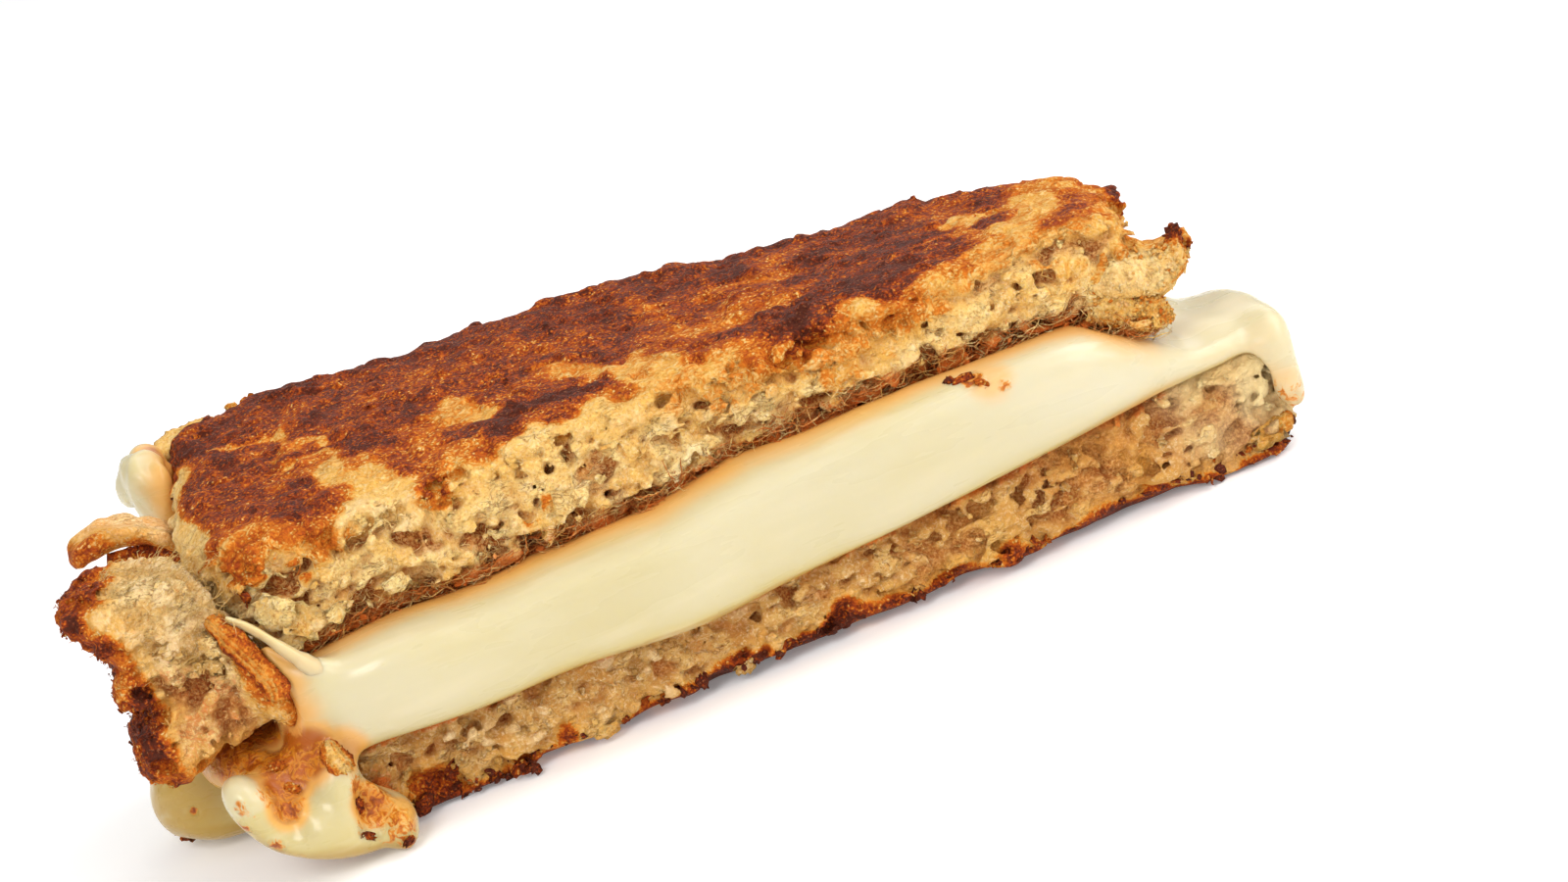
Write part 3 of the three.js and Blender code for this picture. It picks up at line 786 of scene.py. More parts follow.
# Browned patches of the upper face: start x, y and end x, y of a line, half width, how dark.
TOP_PATCHES = [
    (-46, -13, -44, -6, 8.0, 0.7), (-39, -10, -37, -5, 2.6, 0.9), (-53, 18, -46, 6, 4.0, 0.86),
    (-46, 6, -38, 2, 3.5, 0.8), (-38, 8, -36, 17, 4.5, 0.88), (-46, 26, -10, 24, 6.0, 0.84),
    (-41, 20, -38, 22, 3.0, 1.0), (-31, -1, -26, 1, 7.0, 0.76), (-22, 6, -9, 0, 6.0, 0.7),
    (-24, -14, -15, -12, 2.6, 0.92), (-16, -11, -5, -15, 3.6, 0.98), (-2, 0, 1, -8, 3.2, 0.66),
    (-4, 4, 12, 1, 5.5, 0.74), (-6, 14, 14, 14, 6.5, 0.76), (16, 12, 20, 19, 3.5, 0.96),
    (11, -14, 20, -12, 5.0, 0.95), (20, -12, 37, -12, 5.5, 0.92), (24, -4, 36, -2, 7.0, 0.94),
    (28, 7, 36, 8, 5.5, 0.9), (30, 15, 44, 17, 5.0, 0.82), (12, -18, 41, -18, 1.6, 0.72),
    (45, -6, 46, -6, 3.6, 0.88), (50, 4, 52, 13, 2.2, 0.72), (56, -12, 57, -5, 2.2, 0.55),
]
# Lighter gaps between them, in the same terms, with how much browning they lack.
TOP_GAPS = [
    (-37, -4, -34, -20, 2.6, 0.42), (-50, 14, -38, 0, 1.0, 0.4), (-22, -4, -19, -9, 2.8, 0.36),
    (-9, 0, -4, -8, 2.2, 0.34), (-2, -12, 1, -18, 3.2, 0.4), (5, 10, 6, -6, 1.6, 0.12),
    (14, 6, 22, 3, 3.0, 0.1), (42, 2, 43, -2, 2.0, 0.3), (48, -14, 57, 8, 4.5, 0.32),
    (-58, -14, -57, 8, 3.6, 0.7),
]
# Lumps at the slice's right corners: centre and three radii.
TOP_SWELLS = [
    (63.4, -19.0, 29.4, 1.9, 1.7, 1.5), (64.5, -18.6, 30.6, 1.2, 1.1, 1.4), (65.2, -18.3, 31.6, 0.7, 0.7, 1.3),
    (63.6, 5.0, 30.2, 2.6, 4.0, 3.0),
]
TOP_NOTCH = [((61.8, -18.5, 34.4), (2.6, 9.0, 3.6), 0.5)]  # centre, three radii, turn
# Large holes of the cut side: x, z, three radii, turn.
TOP_HOLES = [
    (-14.6, 27.6, 3.2, 2.0, 0.9, -0.2), (-11.5, 28.4, 2.2, 1.6, 0.7, -0.1), (-25.0, 30.2, 2.6, 1.8, 0.8, -0.2),
    (-38.9, 34.8, 4.2, 1.8, 1.1, 0.1), (-34.0, 33.0, 3.2, 1.8, 0.8, -0.25), (-46.9, 34.4, 3.6, 1.6, 1.0, 0.0),
    (17.2, 27.6, 3.4, 3.0, 1.2, -0.3), (13.5, 27.4, 2.4, 2.4, 1.0, 0.3), (9.3, 25.6, 2.0, 2.4, 1.1, 0.1),
    (-5.8, 26.0, 2.8, 2.4, 1.3, -0.2), (39.7, 28.2, 2.8, 2.4, 1.3, -0.2), (35.6, 27.8, 1.6, 2.0, 1.0, 0.2),
    (45.6, 27.6, 2.0, 2.2, 1.2, 0.0), (50.2, 27.4, 1.3, 2.0, 1.0, 0.0), (-30.5, 25.6, 2.6, 2.4, 1.2, 0.0),
    (-21.0, 26.4, 2.2, 2.2, 1.0, -0.2), (-44.0, 27.0, 3.0, 2.4, 1.2, 0.3),
]


def highest(lattice, field):
    """The height of the form's upper face over the plan, carried outward past its edge."""
    height = np.where(field < 0, lattice.axes[2], -1e3).max(2)
    for _ in range(int(PAST_EDGE / lattice.pitch)):
        spread = height.copy()
        for axis in (0, 1):
            for step in (-1, 1):
                spread = np.maximum(spread, np.roll(height, step, axis))
        height = np.where(height > -1e2, height, spread)
    return height


def slice_crags(lattice, seed):
    """Three sizes of crags, from coarse to fine, as a slice's crumb has them."""
    sizes = ((2.6, seed), (1.35, seed + 1), (0.85, seed + 2))
    return [lattice.crags(size, own, (1.6, 1.2, 1)) for size, own in sizes]


def build_upper_slice():
    lattice = Lattice("bread_top")
    y = lattice.axes[1]
    solid = lattice.distance("bread_top")
    lattice.carve(solid, TOP_NOTCH)
    smooth = lattice.blurred(lattice.swell(solid, TOP_SWELLS), 0.7)
    nx, ny, nz = lattice.slopes(lattice.blurred(smooth, 1.0))
    cheese = lattice.distance("melted_cheese")
    crust = ease(nz, 0.35, 0.8)
    side = np.clip(1 - crust - ease(-nz, 0.5, 0.9), 0, 1)
    cut = side * ease(-y, -CUT_Y - 9, -CUT_Y - 4)

    coarse, middle = lattice.noise(5.0, 11), lattice.noise(2.4, 12)
    lumps, bits, chips = slice_crags(lattice, 13)
    relief = side * (0.22 * coarse + 0.16 * lumps + 0.3 * bits)
    pitted = lattice.crags(1.7, 16)
    relief += crust * (0.16 * coarse + 0.12 * middle + 0.22 * pitted + 0.2 * bits + 0.24 * chips)
    band = cut * fade(cheese, 1.4, 3.2 + 0.5 * middle)
    relief -= band * 0.5
    relief -= 0.45 * ease(y, 24, 29)
    field = smooth - relief

    holes = Holes(lattice, 7)
    front = (ny < -0.45) & (crust < 0.5)
    holes.scatter(smooth, front, 700, 21, (0.4, 0.6, 3), (1.7, 0.9, 0.75), 0.35)
    holes.scatter(smooth, front, 60, 22, (0.7, 0.6, 1), (2.4, 1.2, 0.7), 0.3, inward=0.2)
    holes.named(CUT_Y + 0.4, TOP_HOLES)
    holes.scatter(field, band > 0.4, 320, 23, (0.4, 0.7, 1.5), (1.5, 1.4, 0.8), 0.4)
    ends = (np.abs(nx) > 0.5) & (crust < 0.5)
    holes.scatter(smooth, ends, 300, 24, (0.4, 0.7, 2), (0.9, 1.3, 0.8), 0.3)
    field = lattice.boxed(holes.taken_from(field, 25, 0.28) - side * (0.36 * chips + 0.1 * bits))

    piece = mesh_of(lattice, field)
    points = mesh_points(piece.data)
    px, py, pz = points.T
    below = np.maximum(0, lattice.sample(highest(lattice, smooth)[:, :, None], points) - pz)
    waver, blotch = lattice.sample_noise(points, (6.0, 31), (2.6, 32))
    wx = px + 1.3 * waver + 0.5 * blotch
    wy = py + 1.3 * blotch - 0.5 * waver
    base = 0.54 + 0.14 * ease(py, -8, 4) + 0.08 * ease(py, 10, 16) - 0.12 * ease(px, 40, 48)
    base *= ease(wy - CUT_Y, 1.2, 4.5) * (1 - 0.4 * ease(px, 56, 61))
    plan = np.maximum(base, patches(wx, wy, TOP_PATCHES, 0.36)) + 0.05 * waver + 0.06 * blotch
    least = 0.24 - 0.13 * np.maximum(ease(-px, 52, 56), fade(wy - CUT_Y, 0.5, 4.0) * fade(px, -20, 10))
    plan = np.clip(0.92 * plan - patches(wx, wy, TOP_GAPS), least, 1.0)
    fall = fade(below + 0.4 * waver + 0.3 * blotch, 0.4, 2.3 + 0.4 * ease(px, -20, 10) + 1.2 * plan)
    rim = (0.07 + 0.12 * ease(px, -40, 30)) * fade(below + 0.9 * waver, 0.8, 5.5)
    back = ease(py, 10, 18) * lattice.sample(ny, points).clip(0, 1)
    at_ends = ease(np.abs(lattice.sample(nx, points)), 0.4, 0.8) * fade(below, 3, 9)
    toast = most(
        np.minimum(plan, 0.3) * fade(below + 0.8 * waver, 1.0, 4.6),
        rim,
        (0.06 + 0.14 * ease(px, -20, 20)) * at_ends,
        plan * fall,
        back * (0.5 + 0.1 * waver) * (1 - fall),
    )
    tip = hump(px, 65.2, 1.3) * hump(pz, 31.8, 1.6)
    barb = 0.8 * hump(px, 66.0, 0.8) * hump(pz, 28.5, 1.6)
    by_horn = ease(px, 57, 61) * ease(-py, 13, 17) * ease(below, 3, 5)
    toast = np.maximum(toast * (1 - 0.8 * by_horn), 0.9 * np.maximum(tip, barb))
    # The hole value darkens the crumb with depth, as painted shade, less in the web band and a little more towards the
    # right end.
    depth = -lattice.sample(smooth, points)
    hole = (depth - 0.6 * lattice.sample(band, points)) / DEEPEST + 0.12 * ease(px, 10, 50)
    soak = fade(lattice.sample(cheese, points), 0.4, 3.6)
    give(piece, toast=toast, hole=np.clip(hole, -1, 1), soak=soak, milk=0.0)
    return Form(lattice, field, piece)


# ---------------- the lower slice

# Large holes of the cut side: x, z, three radii, turn.
LOW_HOLES = [
    (-41.6, 3.6, 4.4, 2.6, 2.2, -0.5), (-43.6, 6.8, 1.6, 1.6, 1.0, 0.0), (56.3, 2.2, 3.4, 1.6, 1.2, 0.0),
    (62.0, 10.5, 1.8, 1.4, 1.0, 0.3), (24.0, 3.0, 2.6, 1.4, 0.9, -0.3),
]


def build_lower_slice():
    lattice = Lattice("bread_bottom")
    _, y, z = lattice.axes
    smooth = lattice.blurred(lattice.distance("bread_bottom"), 0.7)
    _, ny, nz = lattice.slopes(lattice.blurred(smooth, 1.0))
    cheese = lattice.distance("melted_cheese")
    flat = ease(np.abs(nz), 0.6, 0.9)
    side = 1 - flat
    coarse = lattice.noise(5.0, 41)
    lumps, bits, chips = slice_crags(lattice, 42)
    relief = side * (0.24 * coarse + 0.18 * lumps + 0.3 * bits)
    relief -= 0.45 * ease(y, 24, 29)
    relief += flat * 0.06 * bits
    holes = Holes(lattice, 8)
    sides = np.abs(nz) < 0.5
    holes.scatter(smooth, sides, 1700, 51, (0.4, 0.6, 3), (1.6, 0.9, 0.75), 0.35)
    holes.scatter(smooth, sides, 50, 52, (0.6, 0.6, 1), (2.2, 1.2, 0.7), 0.3)
    holes.scatter(smooth, sides & (z < 2.2), 240, 53, (0.5, 1.0, 1), (1.3, 1.0, 0.9), 0.4)
    holes.named(CUT_Y + 0.2, LOW_HOLES)
    field = lattice.boxed(holes.taken_from(smooth - relief, 54, 0.28) - side * (0.36 * chips + 0.1 * bits))

    piece = mesh_of(lattice, field)
    points = mesh_points(piece.data)
    px, py, pz = points.T
    waver, blotch = lattice.sample_noise(points, (4.5, 61), (2.0, 62))
    raised = 1.7 * ease(px, -12, 4) * fade(px, 46, 54)
    back = ease(py, 4, 14) * lattice.sample(ny, points).clip(0, 1)
    toast = most(
        (0.74 + 0.12 * waver) * fade(pz + 0.6 * blotch, 0.4 + 0.8 * raised, 2.5 + 0.7 * waver + 1.1 * raised),
        0.16 * fade(pz + 0.8 * blotch - raised, 2.0, 6.0),
        (0.06 + 0.05 * waver) * ease(px, 0, 40),
        back * (0.42 + 0.1 * waver),
        0.75 * hump(px, -41.6, 3.2) * hump(pz, 3.2, 2.6) * (py < CUT_Y + 6),
    )
    near = lattice.sample(cheese, points)
    coated = ease(px, 52, 62)
    soak = 0.85 * (1 - coated) * fade(near, 0.3, 2.2)
    milk = coated * fade(near + 0.8 * waver, 0.8, 5.0)
    # The hole value darkens the crumb with depth, as painted shade, and towards the right end, as painted shadow of the
    # sandwich's other half.
    hole = -lattice.sample(smooth, points) / DEEPEST + 0.62 * ease(px, -5, 35)
    give(piece, toast=toast.clip(0, 1), hole=np.clip(hole, -1, 1), soak=soak, milk=milk)
    return Form(lattice, field, piece)


# ---------------- the torn end

# Lumps of the torn end's outline: centre and three radii.
TORN_SWELLS = [(-73.3, -15.8, 38.8, 1.1, 1.8, 1.3), (-70.2, -19.0, 28.6, 1.5, 3.4, 2.6)]


def left_edge(lattice, field, heights):
    """How far left the form reaches at each of these heights."""
    left = np.where(field < 0, lattice.axes[0], 1e3).min((0, 1))
    filled = left < 1e2
    rows = lattice.axes[2].ravel()
    contour = np.interp(rows, rows[filled], left[filled])
    contour = np.convolve(np.pad(contour, 4, "edge"), np.ones(9) / 9, "valid")
    return np.interp(heights, rows, contour)


def build_torn_end():
    lattice = Lattice("torn_end")
    x, y, z = lattice.axes
    smooth = lattice.blurred(lattice.swell(lattice.distance("torn_end"), TORN_SWELLS), 0.55)
    nx, ny, _ = lattice.slopes(lattice.blurred(smooth, 0.8))
    coarse = lattice.noise(4.0, 71)
    lumps, bits, chips = lattice.crags(2.6, 72), lattice.crags(1.4, 73), lattice.crags(0.85, 74)
    bare = ease(x, -58.5, -56.5) * ease(-y, 18.5, 21.0)
    relief = (1 - bare) * (0.22 * coarse + 0.34 * lumps + 0.3 * bits + 0.2 * chips)
    relief += bare * 0.1 * bits
    holes = Holes(lattice, 9)
    pale = (ease(-nx, 0.2, 0.7) * (1 - bare) < 0.5) & (bare < 0.3)
    holes.scatter(smooth, pale, 260, 81, (0.35, 0.5, 2.5), (1.2, 1.0, 0.9), 0.5)
    low = (z < 30) & (ny < -0.3) & (bare < 0.3)
    holes.scatter(smooth, low, 34, 82, (0.7, 0.7, 1), (1.3, 1.2, 0.9), 0.5)
    field = lattice.boxed(holes.taken_from(smooth - relief, 83, 0.18))

    piece = mesh_of(lattice, field)
    points = mesh_points(piece.data)
    px, _, pz = points.T
    waver, blotch = lattice.sample_noise(points, (3.5, 91), (1.8, 92))
    inward = px - left_edge(lattice, smooth, pz)
    dark = most(
        hump(px, -69.4, 2.4) * hump(pz, 27.8, 3.4),
        hump(px, -70.2, 2.4) * hump(pz, 21.6, 2.6),
        0.85 * hump(px, -72.8, 1.6) * hump(pz, 38.2, 1.7),
    )
    dark = dark + 0.12 * waver + 0.12 * blotch
    toast = most(
        (0.54 + 0.12 * blotch) * fade(inward + 0.7 * waver, 0.6, 4.4),
        1.05 * dark * fade(inward + 0.5 * blotch, 2.6, 6.0),
        0.18 * fade(inward + waver, 2.5, 7.5),
        0.34 * fade(inward + waver, 3, 7) * fade(pz, 20, 26),
    )
    on_bare = lattice.sample(bare, points)
    toast = toast * (1 - on_bare) + (0.42 + 0.08 * waver) * on_bare
    soak = fade(pz + 0.6 * (px + 60), 25, 31) * (1 - on_bare) * 0.5
    soak = soak * ease(px + 0.6 * waver, -69.5, -65.5)
    toast = np.maximum(toast, 0.25 * fade(pz, 17, 22))
    # The hole value darkens the crumb with depth, as painted shade, and where it is oily; the top is paler.
    pallor = 0.3 * ease(pz, 28, 32) * fade(toast, 0.1, 0.3)
    hole = -lattice.sample(smooth, points) / DEEPEST + 0.5 * soak - pallor
    give(piece, toast=toast.clip(0, 1), hole=np.clip(hole, -1, 1), soak=soak, milk=0.0)
    return Form(lattice, field, piece)


def build_curl():
    lattice = Lattice("crust_curl", margin=2.0)
    smooth = lattice.blurred(lattice.distance("crust_curl", reach=2.0), 0.3)
    relief = 0.1 * lattice.noise(1.6, 101) + 0.08 * lattice.noise(0.8, 102)
    piece = mesh_of(lattice, lattice.boxed(smooth - 0.1 - relief))
    points = mesh_points(piece.data)
    (waver,) = lattice.sample_noise(points, (2.5, 103))
    down = lattice.sample(-lattice.slopes(smooth)[2], points)
    toast = 0.06 + 0.08 * ease(down, 0.0, 0.6) + 0.28 * fade(points[:, 0], -70.6, -67.4) + 0.1 * waver
    give(piece, toast=toast.clip(0, 1), hole=0.0, soak=0.0, milk=0.0)


# ---------------- the cheese

# Browned places on the cheese: centre, radius, strength.
CHEESE_BROWN = [
    (-60, -21.5, 16, 2.6, 0.6), (-57.5, -24, 14.8, 2.4, 0.5), (-55, -26, 14.2, 2.2, 0.5), (-52, -27.5, 14.4, 2.0, 0.6),
    (-58.4, -28.6, 10.4, 1.5, 0.75), (-59.8, -28.0, 12.8, 2.0, 0.3), (-57.2, -28.0, 12.2, 2.2, 0.36),
    (-49.2, -27.4, 6.8, 2.8, 0.6), (-49.4, -28.8, 6.8, 1.8, 0.7), (-50.6, -30.6, 5.6, 1.4, 0.75),
    (-49.6, -28.6, 9.6, 1.8, 0.6), (-47.4, -30.2, 3.6, 3.0, 0.4), (-47.0, -29.5, 1.0, 1.3, 0.7),
    (-63.7, -28.5, 10.5, 1.0, 0.6), (-61.3, -29.1, 6.9, 1.2, 0.65), (-59.4, -29.6, 4.4, 0.9, 0.5),
    (-63.3, -29.5, 13.2, 0.9, 0.5), (-62.2, -30.4, 12.0, 0.7, 0.5), (-68.5, -5.1, 6.8, 0.6, 0.9),
    (-72.3, 4.0, 3.4, 1.6, 0.85), (-71.4, 1.5, 1.6, 1.3, 0.8), (-55.4, -14, 15.5, 5.0, 0.6),
    (-61.7, -17.6, 16, 4.0, 0.6), (37.4, -26.7, 23.9, 0.8, 0.5), (41.5, -30.0, 20.5, 0.28, 1.0),
    (34.2, -25.2, 25.6, 1.6, 0.6), (68.6, -22.4, 10.2, 0.9, 0.75), (70.1, -22.8, 8.4, 0.8, 0.7),
    (70.5, -21.5, 6.0, 4.2, 0.3), (66.0, -22.5, 12.6, 2.6, 0.25),
]
# Places where the cheese is a thin orange glaze over crust, in the same terms.
CHEESE_GLAZE = [
    (-56.3, -24.4, 15.2, 4.2, 1.0), (-53.2, -26.0, 15.0, 3.6, 0.95), (-59.6, -21.8, 15.8, 3.0, 0.8),
    (-57.2, -26.6, 13.4, 3.0, 1.0), (-58.4, -28.6, 10.8, 2.4, 0.8), (-50.0, -26.8, 14.2, 3.0, 0.6),
    (-48.9, -28.6, 7.4, 2.8, 0.8), (-46.0, -28.4, 5.0, 2.4, 0.45), (-62.2, -18.5, 15.6, 3.6, 0.8),
    (-59.6, -20.6, 17.4, 3.0, 0.9), (-57.6, -22.4, 18.6, 2.2, 0.7), (-66.0, -14.0, 15.0, 4.0, 0.5),
    (-57.0, -17.0, 16.0, 3.6, 0.85), (36.0, -25.6, 25.2, 3.0, 0.35), (-56.0, 17.5, 40.0, 3.0, 0.95),
    (-56.2, 16.5, 36.8, 3.0, 0.9), (-55.8, 21.0, 43.0, 3.0, 0.8), (69.6, -22.0, 9.0, 4.0, 0.22),
]
# Swells of the drape, the lobe and the strand's foot: centre and three radii.
CHEESE_SWELLS = [
    (71.8, -20.2, 8.0, 1.9, 2.4, 4.4), (71.6, -6, 14.2, 3.0, 11, 3.6), (72.6, -6, 10.0, 2.0, 10, 6.0),
    (-59.4, 21.5, 39.6, 2.3, 4.6, 2.2), (-57.6, 21.6, 40.4, 2.2, 4.4, 2.6), (-57.4, 18.6, 35.8, 1.0, 3.6, 2.6),
    (64.6, -12.5, 15.6, 6.4, 9.0, 2.8), (61.5, -4.0, 17.2, 5.5, 9.0, 3.1), (-49.2, -25.9, 23.0, 2.0, 1.5, 2.4),
    (-69.8, 2.0, 6.2, 3.4, 5.0, 4.6),
]
# Hollows between the fingers and behind the lobe, and small pits: centre, three radii, turn.
CHEESE_HOLLOWS = [
    ((-56.9, -30.6, 12.8), (2.6, 4.0, 3.0), 0.4),
    ((-58.9, -31.6, 9.4), (2.0, 3.4, 3.0), 0.5),
    ((-54.4, -31.4, 15.0), (2.8, 3.0, 2.2), 0.0),
    ((-49.2, -30.4, 7.0), (2.2, 4.4, 3.2), 0.3),
    ((-50.2, -31.0, 4.8), (1.6, 3.2, 2.2), 0.3),
    ((-45.0, -26.6, 8.8), (2.5, 6.6, 3.4), -0.4),
    ((-43.0, -27.0, 5.4), (1.9, 5.6, 3.6), 0.0),
    ((-62.7, 20.0, 35.2), (3.4, 7.0, 3.4), 0.0),
]
PIT = (1.3, 2.0, 1.1), 0.4
CHEESE_PITS = [((-58.4, -29.8, 10.2), *PIT), ((-50.8, -31.2, 5.2), *PIT), ((68.6, -22.8, 10.2), *PIT)]


def build_cheese():
    lattice = Lattice("melted_cheese")
    x, y, z = lattice.axes
    solid = lattice.swell(lattice.distance("melted_cheese"), CHEESE_SWELLS)
    lattice.carve(solid, CHEESE_HOLLOWS)
    smooth = lattice.blurred(solid, 1.0)
    toes = fade(x, -50, -44) * fade(z, 14, 18)
    sharper = lattice.blurred(solid, 0.9) - 0.1
    field = smooth * (1 - toes) + sharper * toes - 0.3
    field += 0.7 * hump(x, 70.5, 3.5) * ease(z, 6, 12) * ease(y, -18, -4)
    field -= 0.25 * lattice.noise(8.0, 111, (2.4, 1, 1))
    field -= 0.05 * lattice.noise(2.8, 112, (4.5, 1, 1))
    crusty = spots(x, y, z, CHEESE_BROWN, 0.4, 1.35)
    field -= crusty * (0.3 * lattice.crags(1.5, 113) - 0.05)
    field -= ease(z, 31, 34) * (0.2 * lattice.crags(3.0, 115, (1, 1, 1.6)) + 0.2 * lattice.noise(1.3, 116, (1, 1, 4)))
    holes = Holes(lattice)
    lattice.carve(holes.cut, CHEESE_PITS)
    field = lattice.boxed(holes.taken_from(field, 114, 0.12))

    piece = mesh_of(lattice, field)
    points = mesh_points(piece.data)
    px, py, pz = points.T
    bread = lattice.sample(lattice.distance("bread_top", "bread_bottom", "torn_end", reach=7.0), points)
    coated = ease(px, 52, 60)
    soak = (1 - 0.75 * coated) * fade(bread, 0.3, 1.5)
    warm = (0.48 - 0.34 * coated) * fade(bread, 0.3, 5.5)
    warm = np.maximum(warm, spots(px, py, pz, CHEESE_GLAZE, 0.5, 1.5))
    foot = fade(px, -68, -58) * ease(py, -24, -16) * fade(pz, 14, 20)
    # The tone is paler towards the right end and away from the bread above the lower slice; it is darker on the foot
    # and where the cheese faces down, which is painted shade.
    below = ease(-lattice.sample(lattice.slopes(smooth)[2], points), 0.1, 0.9)
    tone = 0.42 + 0.3 * ease(px, -10, 60) + 0.22 * ease(bread, 3, 7) * (pz > 12) - 0.5 * foot - 0.42 * below
    give(piece, soak=soak, browned=lattice.sample(crusty, points), tone=tone, warm=warm)
    return Form(lattice, field, piece)


# ---------------- crumbs, fibres and flakes

CRUMB_SIZES = (0.12, 0.34)


def taken_on(form, places, points, shade, toast):
    """Values for loose bits like those of the surface that carries them, a little varied."""
    values = {name: form.read(name, places) for name in ("toast", "soak", "milk")}
    values["toast"] = (values["toast"] * (0.8 + 0.3 * shade) + toast * (0.7 + 0.6 * shade)).clip(0, 1)
    values["hole"] = 0.2 - 0.3 * shade
    return {name: np.repeat(value, len(points) // len(places)) for name, value in values.items()}


def loose_crumbs(name, form, mask, count, seed, size=CRUMB_SIZES, toast=0.0):
    """Chips of crumb on a form's surface, where mask holds."""
    places = form.places(mask, count, seed)
    out = form.out(places)
    rng = np.random.default_rng(seed + 1)
    sizes = size[0] + (size[1] - size[0]) * rng.random(count) ** 2.5
    points, faces = crumbs(places - 0.3 * out * sizes[:, None], out, sizes, seed + 2)
    values = taken_on(form, places, points, rng.random(count), toast)
    joined(name, [(points, faces)], form.slot, smooth=False, **values)


def random_flakes(name, form, mask, count, size, seed, toast=0.0, tilt=0.35):
    """Flakes on a form's surface, where mask holds."""
    places = form.places(mask, count, seed)
    rng = np.random.default_rng(seed + 1)
    out = unit(form.out(places) + rng.normal(0, tilt, (count, 3)))
    along = unit(rng.normal(0, 1, (count, 3)) * [1, 0.6, 0.5])
    sizes = rng.uniform(*size, (count, 1)) * rng.uniform(0.5, 1, (count, 2))
    points, faces = flakes(places - 0.08 * out, out, along, sizes, seed + 2, 0.2)
    joined(name, [(points, faces)], form.slot, **taken_on(form, places, points, rng.random(count), toast))


def threads(name, form, starts, along, out, lengths, radius, bow, seed, toast=0.0, soak=(0.0, 0.0)):
    """Fibres in the bread of a form, each of its own shade."""
    points, faces = fibres(starts, along, out, lengths, radius, bow, seed)
    each = len(points) // len(starts)
    shade = np.repeat(np.random.default_rng(seed).random(len(starts)), each)
    toast = np.repeat(np.broadcast_to(toast, len(starts)), each) * (0.7 + 0.4 * shade)
    values = {"toast": toast.clip(0, 1), "hole": -0.25 * shade, "soak": soak[0] + (soak[1] - soak[0]) * shade}
    joined(name, [(points, faces)], form.slot, milk=0.0, **values)


def named_flakes(name, slot, specs, seed, thick, form=None):
    """The flakes of a list: centre, facing, direction, half length and half width, browning."""
    specs = np.array(specs)
    centres, out, along = specs[:, :3], unit(specs[:, 3:6]), unit(specs[:, 6:9])
    if form:
        centres = form.settled(centres) + 0.1 * out
    points, faces = flakes(centres, out, along, specs[:, 9:11], seed, thick)
    toast = np.repeat(specs[:, 11], len(points) // len(specs)) + 0.04
    joined(name, [(points, faces)], slot, toast=toast, hole=0.12, soak=0.0, milk=0.0)


UPPER_FLAKES = [
    (-51.4, -22.9, 31.4, -0.35, -0.93, 0.1, 0.75, -0.2, -0.6, 2.9, 2.6, 0.0),
    (-48.6, -23.2, 29.2, 0.1, -0.99, 0.05, 0.82, 0, -0.55, 3.1, 2.5, 0.0),
    (-50.4, -23.0, 27.6, -0.1, -0.98, -0.15, 0.6, 0, -0.8, 1.8, 1.5, 0.03),
    (-53.8, -21.2, 33.9, -0.6, -0.75, 0.1, 0.5, -0.2, -0.8, 1.5, 0.7, 0.5),
    (-44.6, -22.8, 28.4, 0.2, -0.95, -0.1, 0.9, 0, 0.3, 1.8, 1.3, 0.0),
    (-37.0, -22.7, 28.8, -0.1, -0.98, 0.2, 0.9, 0, 0.2, 2.0, 1.3, 0.0),
]
CREST_FLAKES = [
    (-45.2, 28.8, 42.2, -0.2, -0.6, 0.7, 0.9, 0, -0.1, 1.1, 0.9, 0.26),
    (-42.8, 29.4, 42.4, 0, -0.6, 0.7, 0.9, 0, 0.1, 1.4, 1.1, 0.3),
    (-41.0, 29.4, 42.4, 0.3, -0.6, 0.7, 0.8, 0, 0.1, 1.2, 1.0, 0.34),
]
LOWER_FLAKES = [
    (-2.1, -21.0, 1.9, 0, -0.8, -0.5, 1, 0, 0.2, 1.9, 1.3, 0.05),
    (3.2, -21.2, 2.2, 0.1, -0.85, -0.4, 1, 0, 0.1, 2.1, 1.3, 0.6),
    (-20.0, -22.0, 1.7, 0, -0.9, -0.3, 1, 0, -0.1, 2.0, 1.2, 0.1),
    (-32.6, -21.8, 1.4, 0, -0.9, -0.3, 1, 0, 0.2, 1.6, 1.1, 0.62),
    (-43.6, -22.0, 1.6, -0.1, -0.9, -0.2, 0.8, 0, 0.5, 1.8, 1.2, 0.7),
    (-39.2, -22.2, 4.6, 0.1, -0.95, 0.1, 0.7, 0, 0.7, 1.6, 1.0, 0.55),
    (67.6, -22.2, 3.2, 0.2, -0.95, -0.1, 1, 0.1, 0.1, 3.0, 1.9, 0.14),
    (70.6, -20.8, 3.0, 0.5, -0.8, 0, 0.8, 0.4, 0.2, 2.0, 1.5, 0.2),
    (68.2, -21.9, 1.2, 0.3, -0.9, -0.2, 1, 0, -0.3, 1.8, 0.9, 0.45),
    (72.0, -19.4, 2.6, 0.7, -0.6, 0, 0.5, 0.7, 0.3, 0.9, 0.6, 0.85),
]
TORN_FLAKES = [
    (-60.2, -25.4, 31.0, -0.5, -0.85, 0, 0.6, 0, -0.7, 1.7, 1.3, 0.0),
    (-61.0, -25.2, 28.6, -0.3, -0.9, 0, 0.7, 0, -0.6, 1.5, 1.1, 0.0),
    (-63.4, -24.0, 32.0, -0.3, -0.9, 0.2, 0.8, 0, -0.5, 1.6, 1.0, 0.0),
]
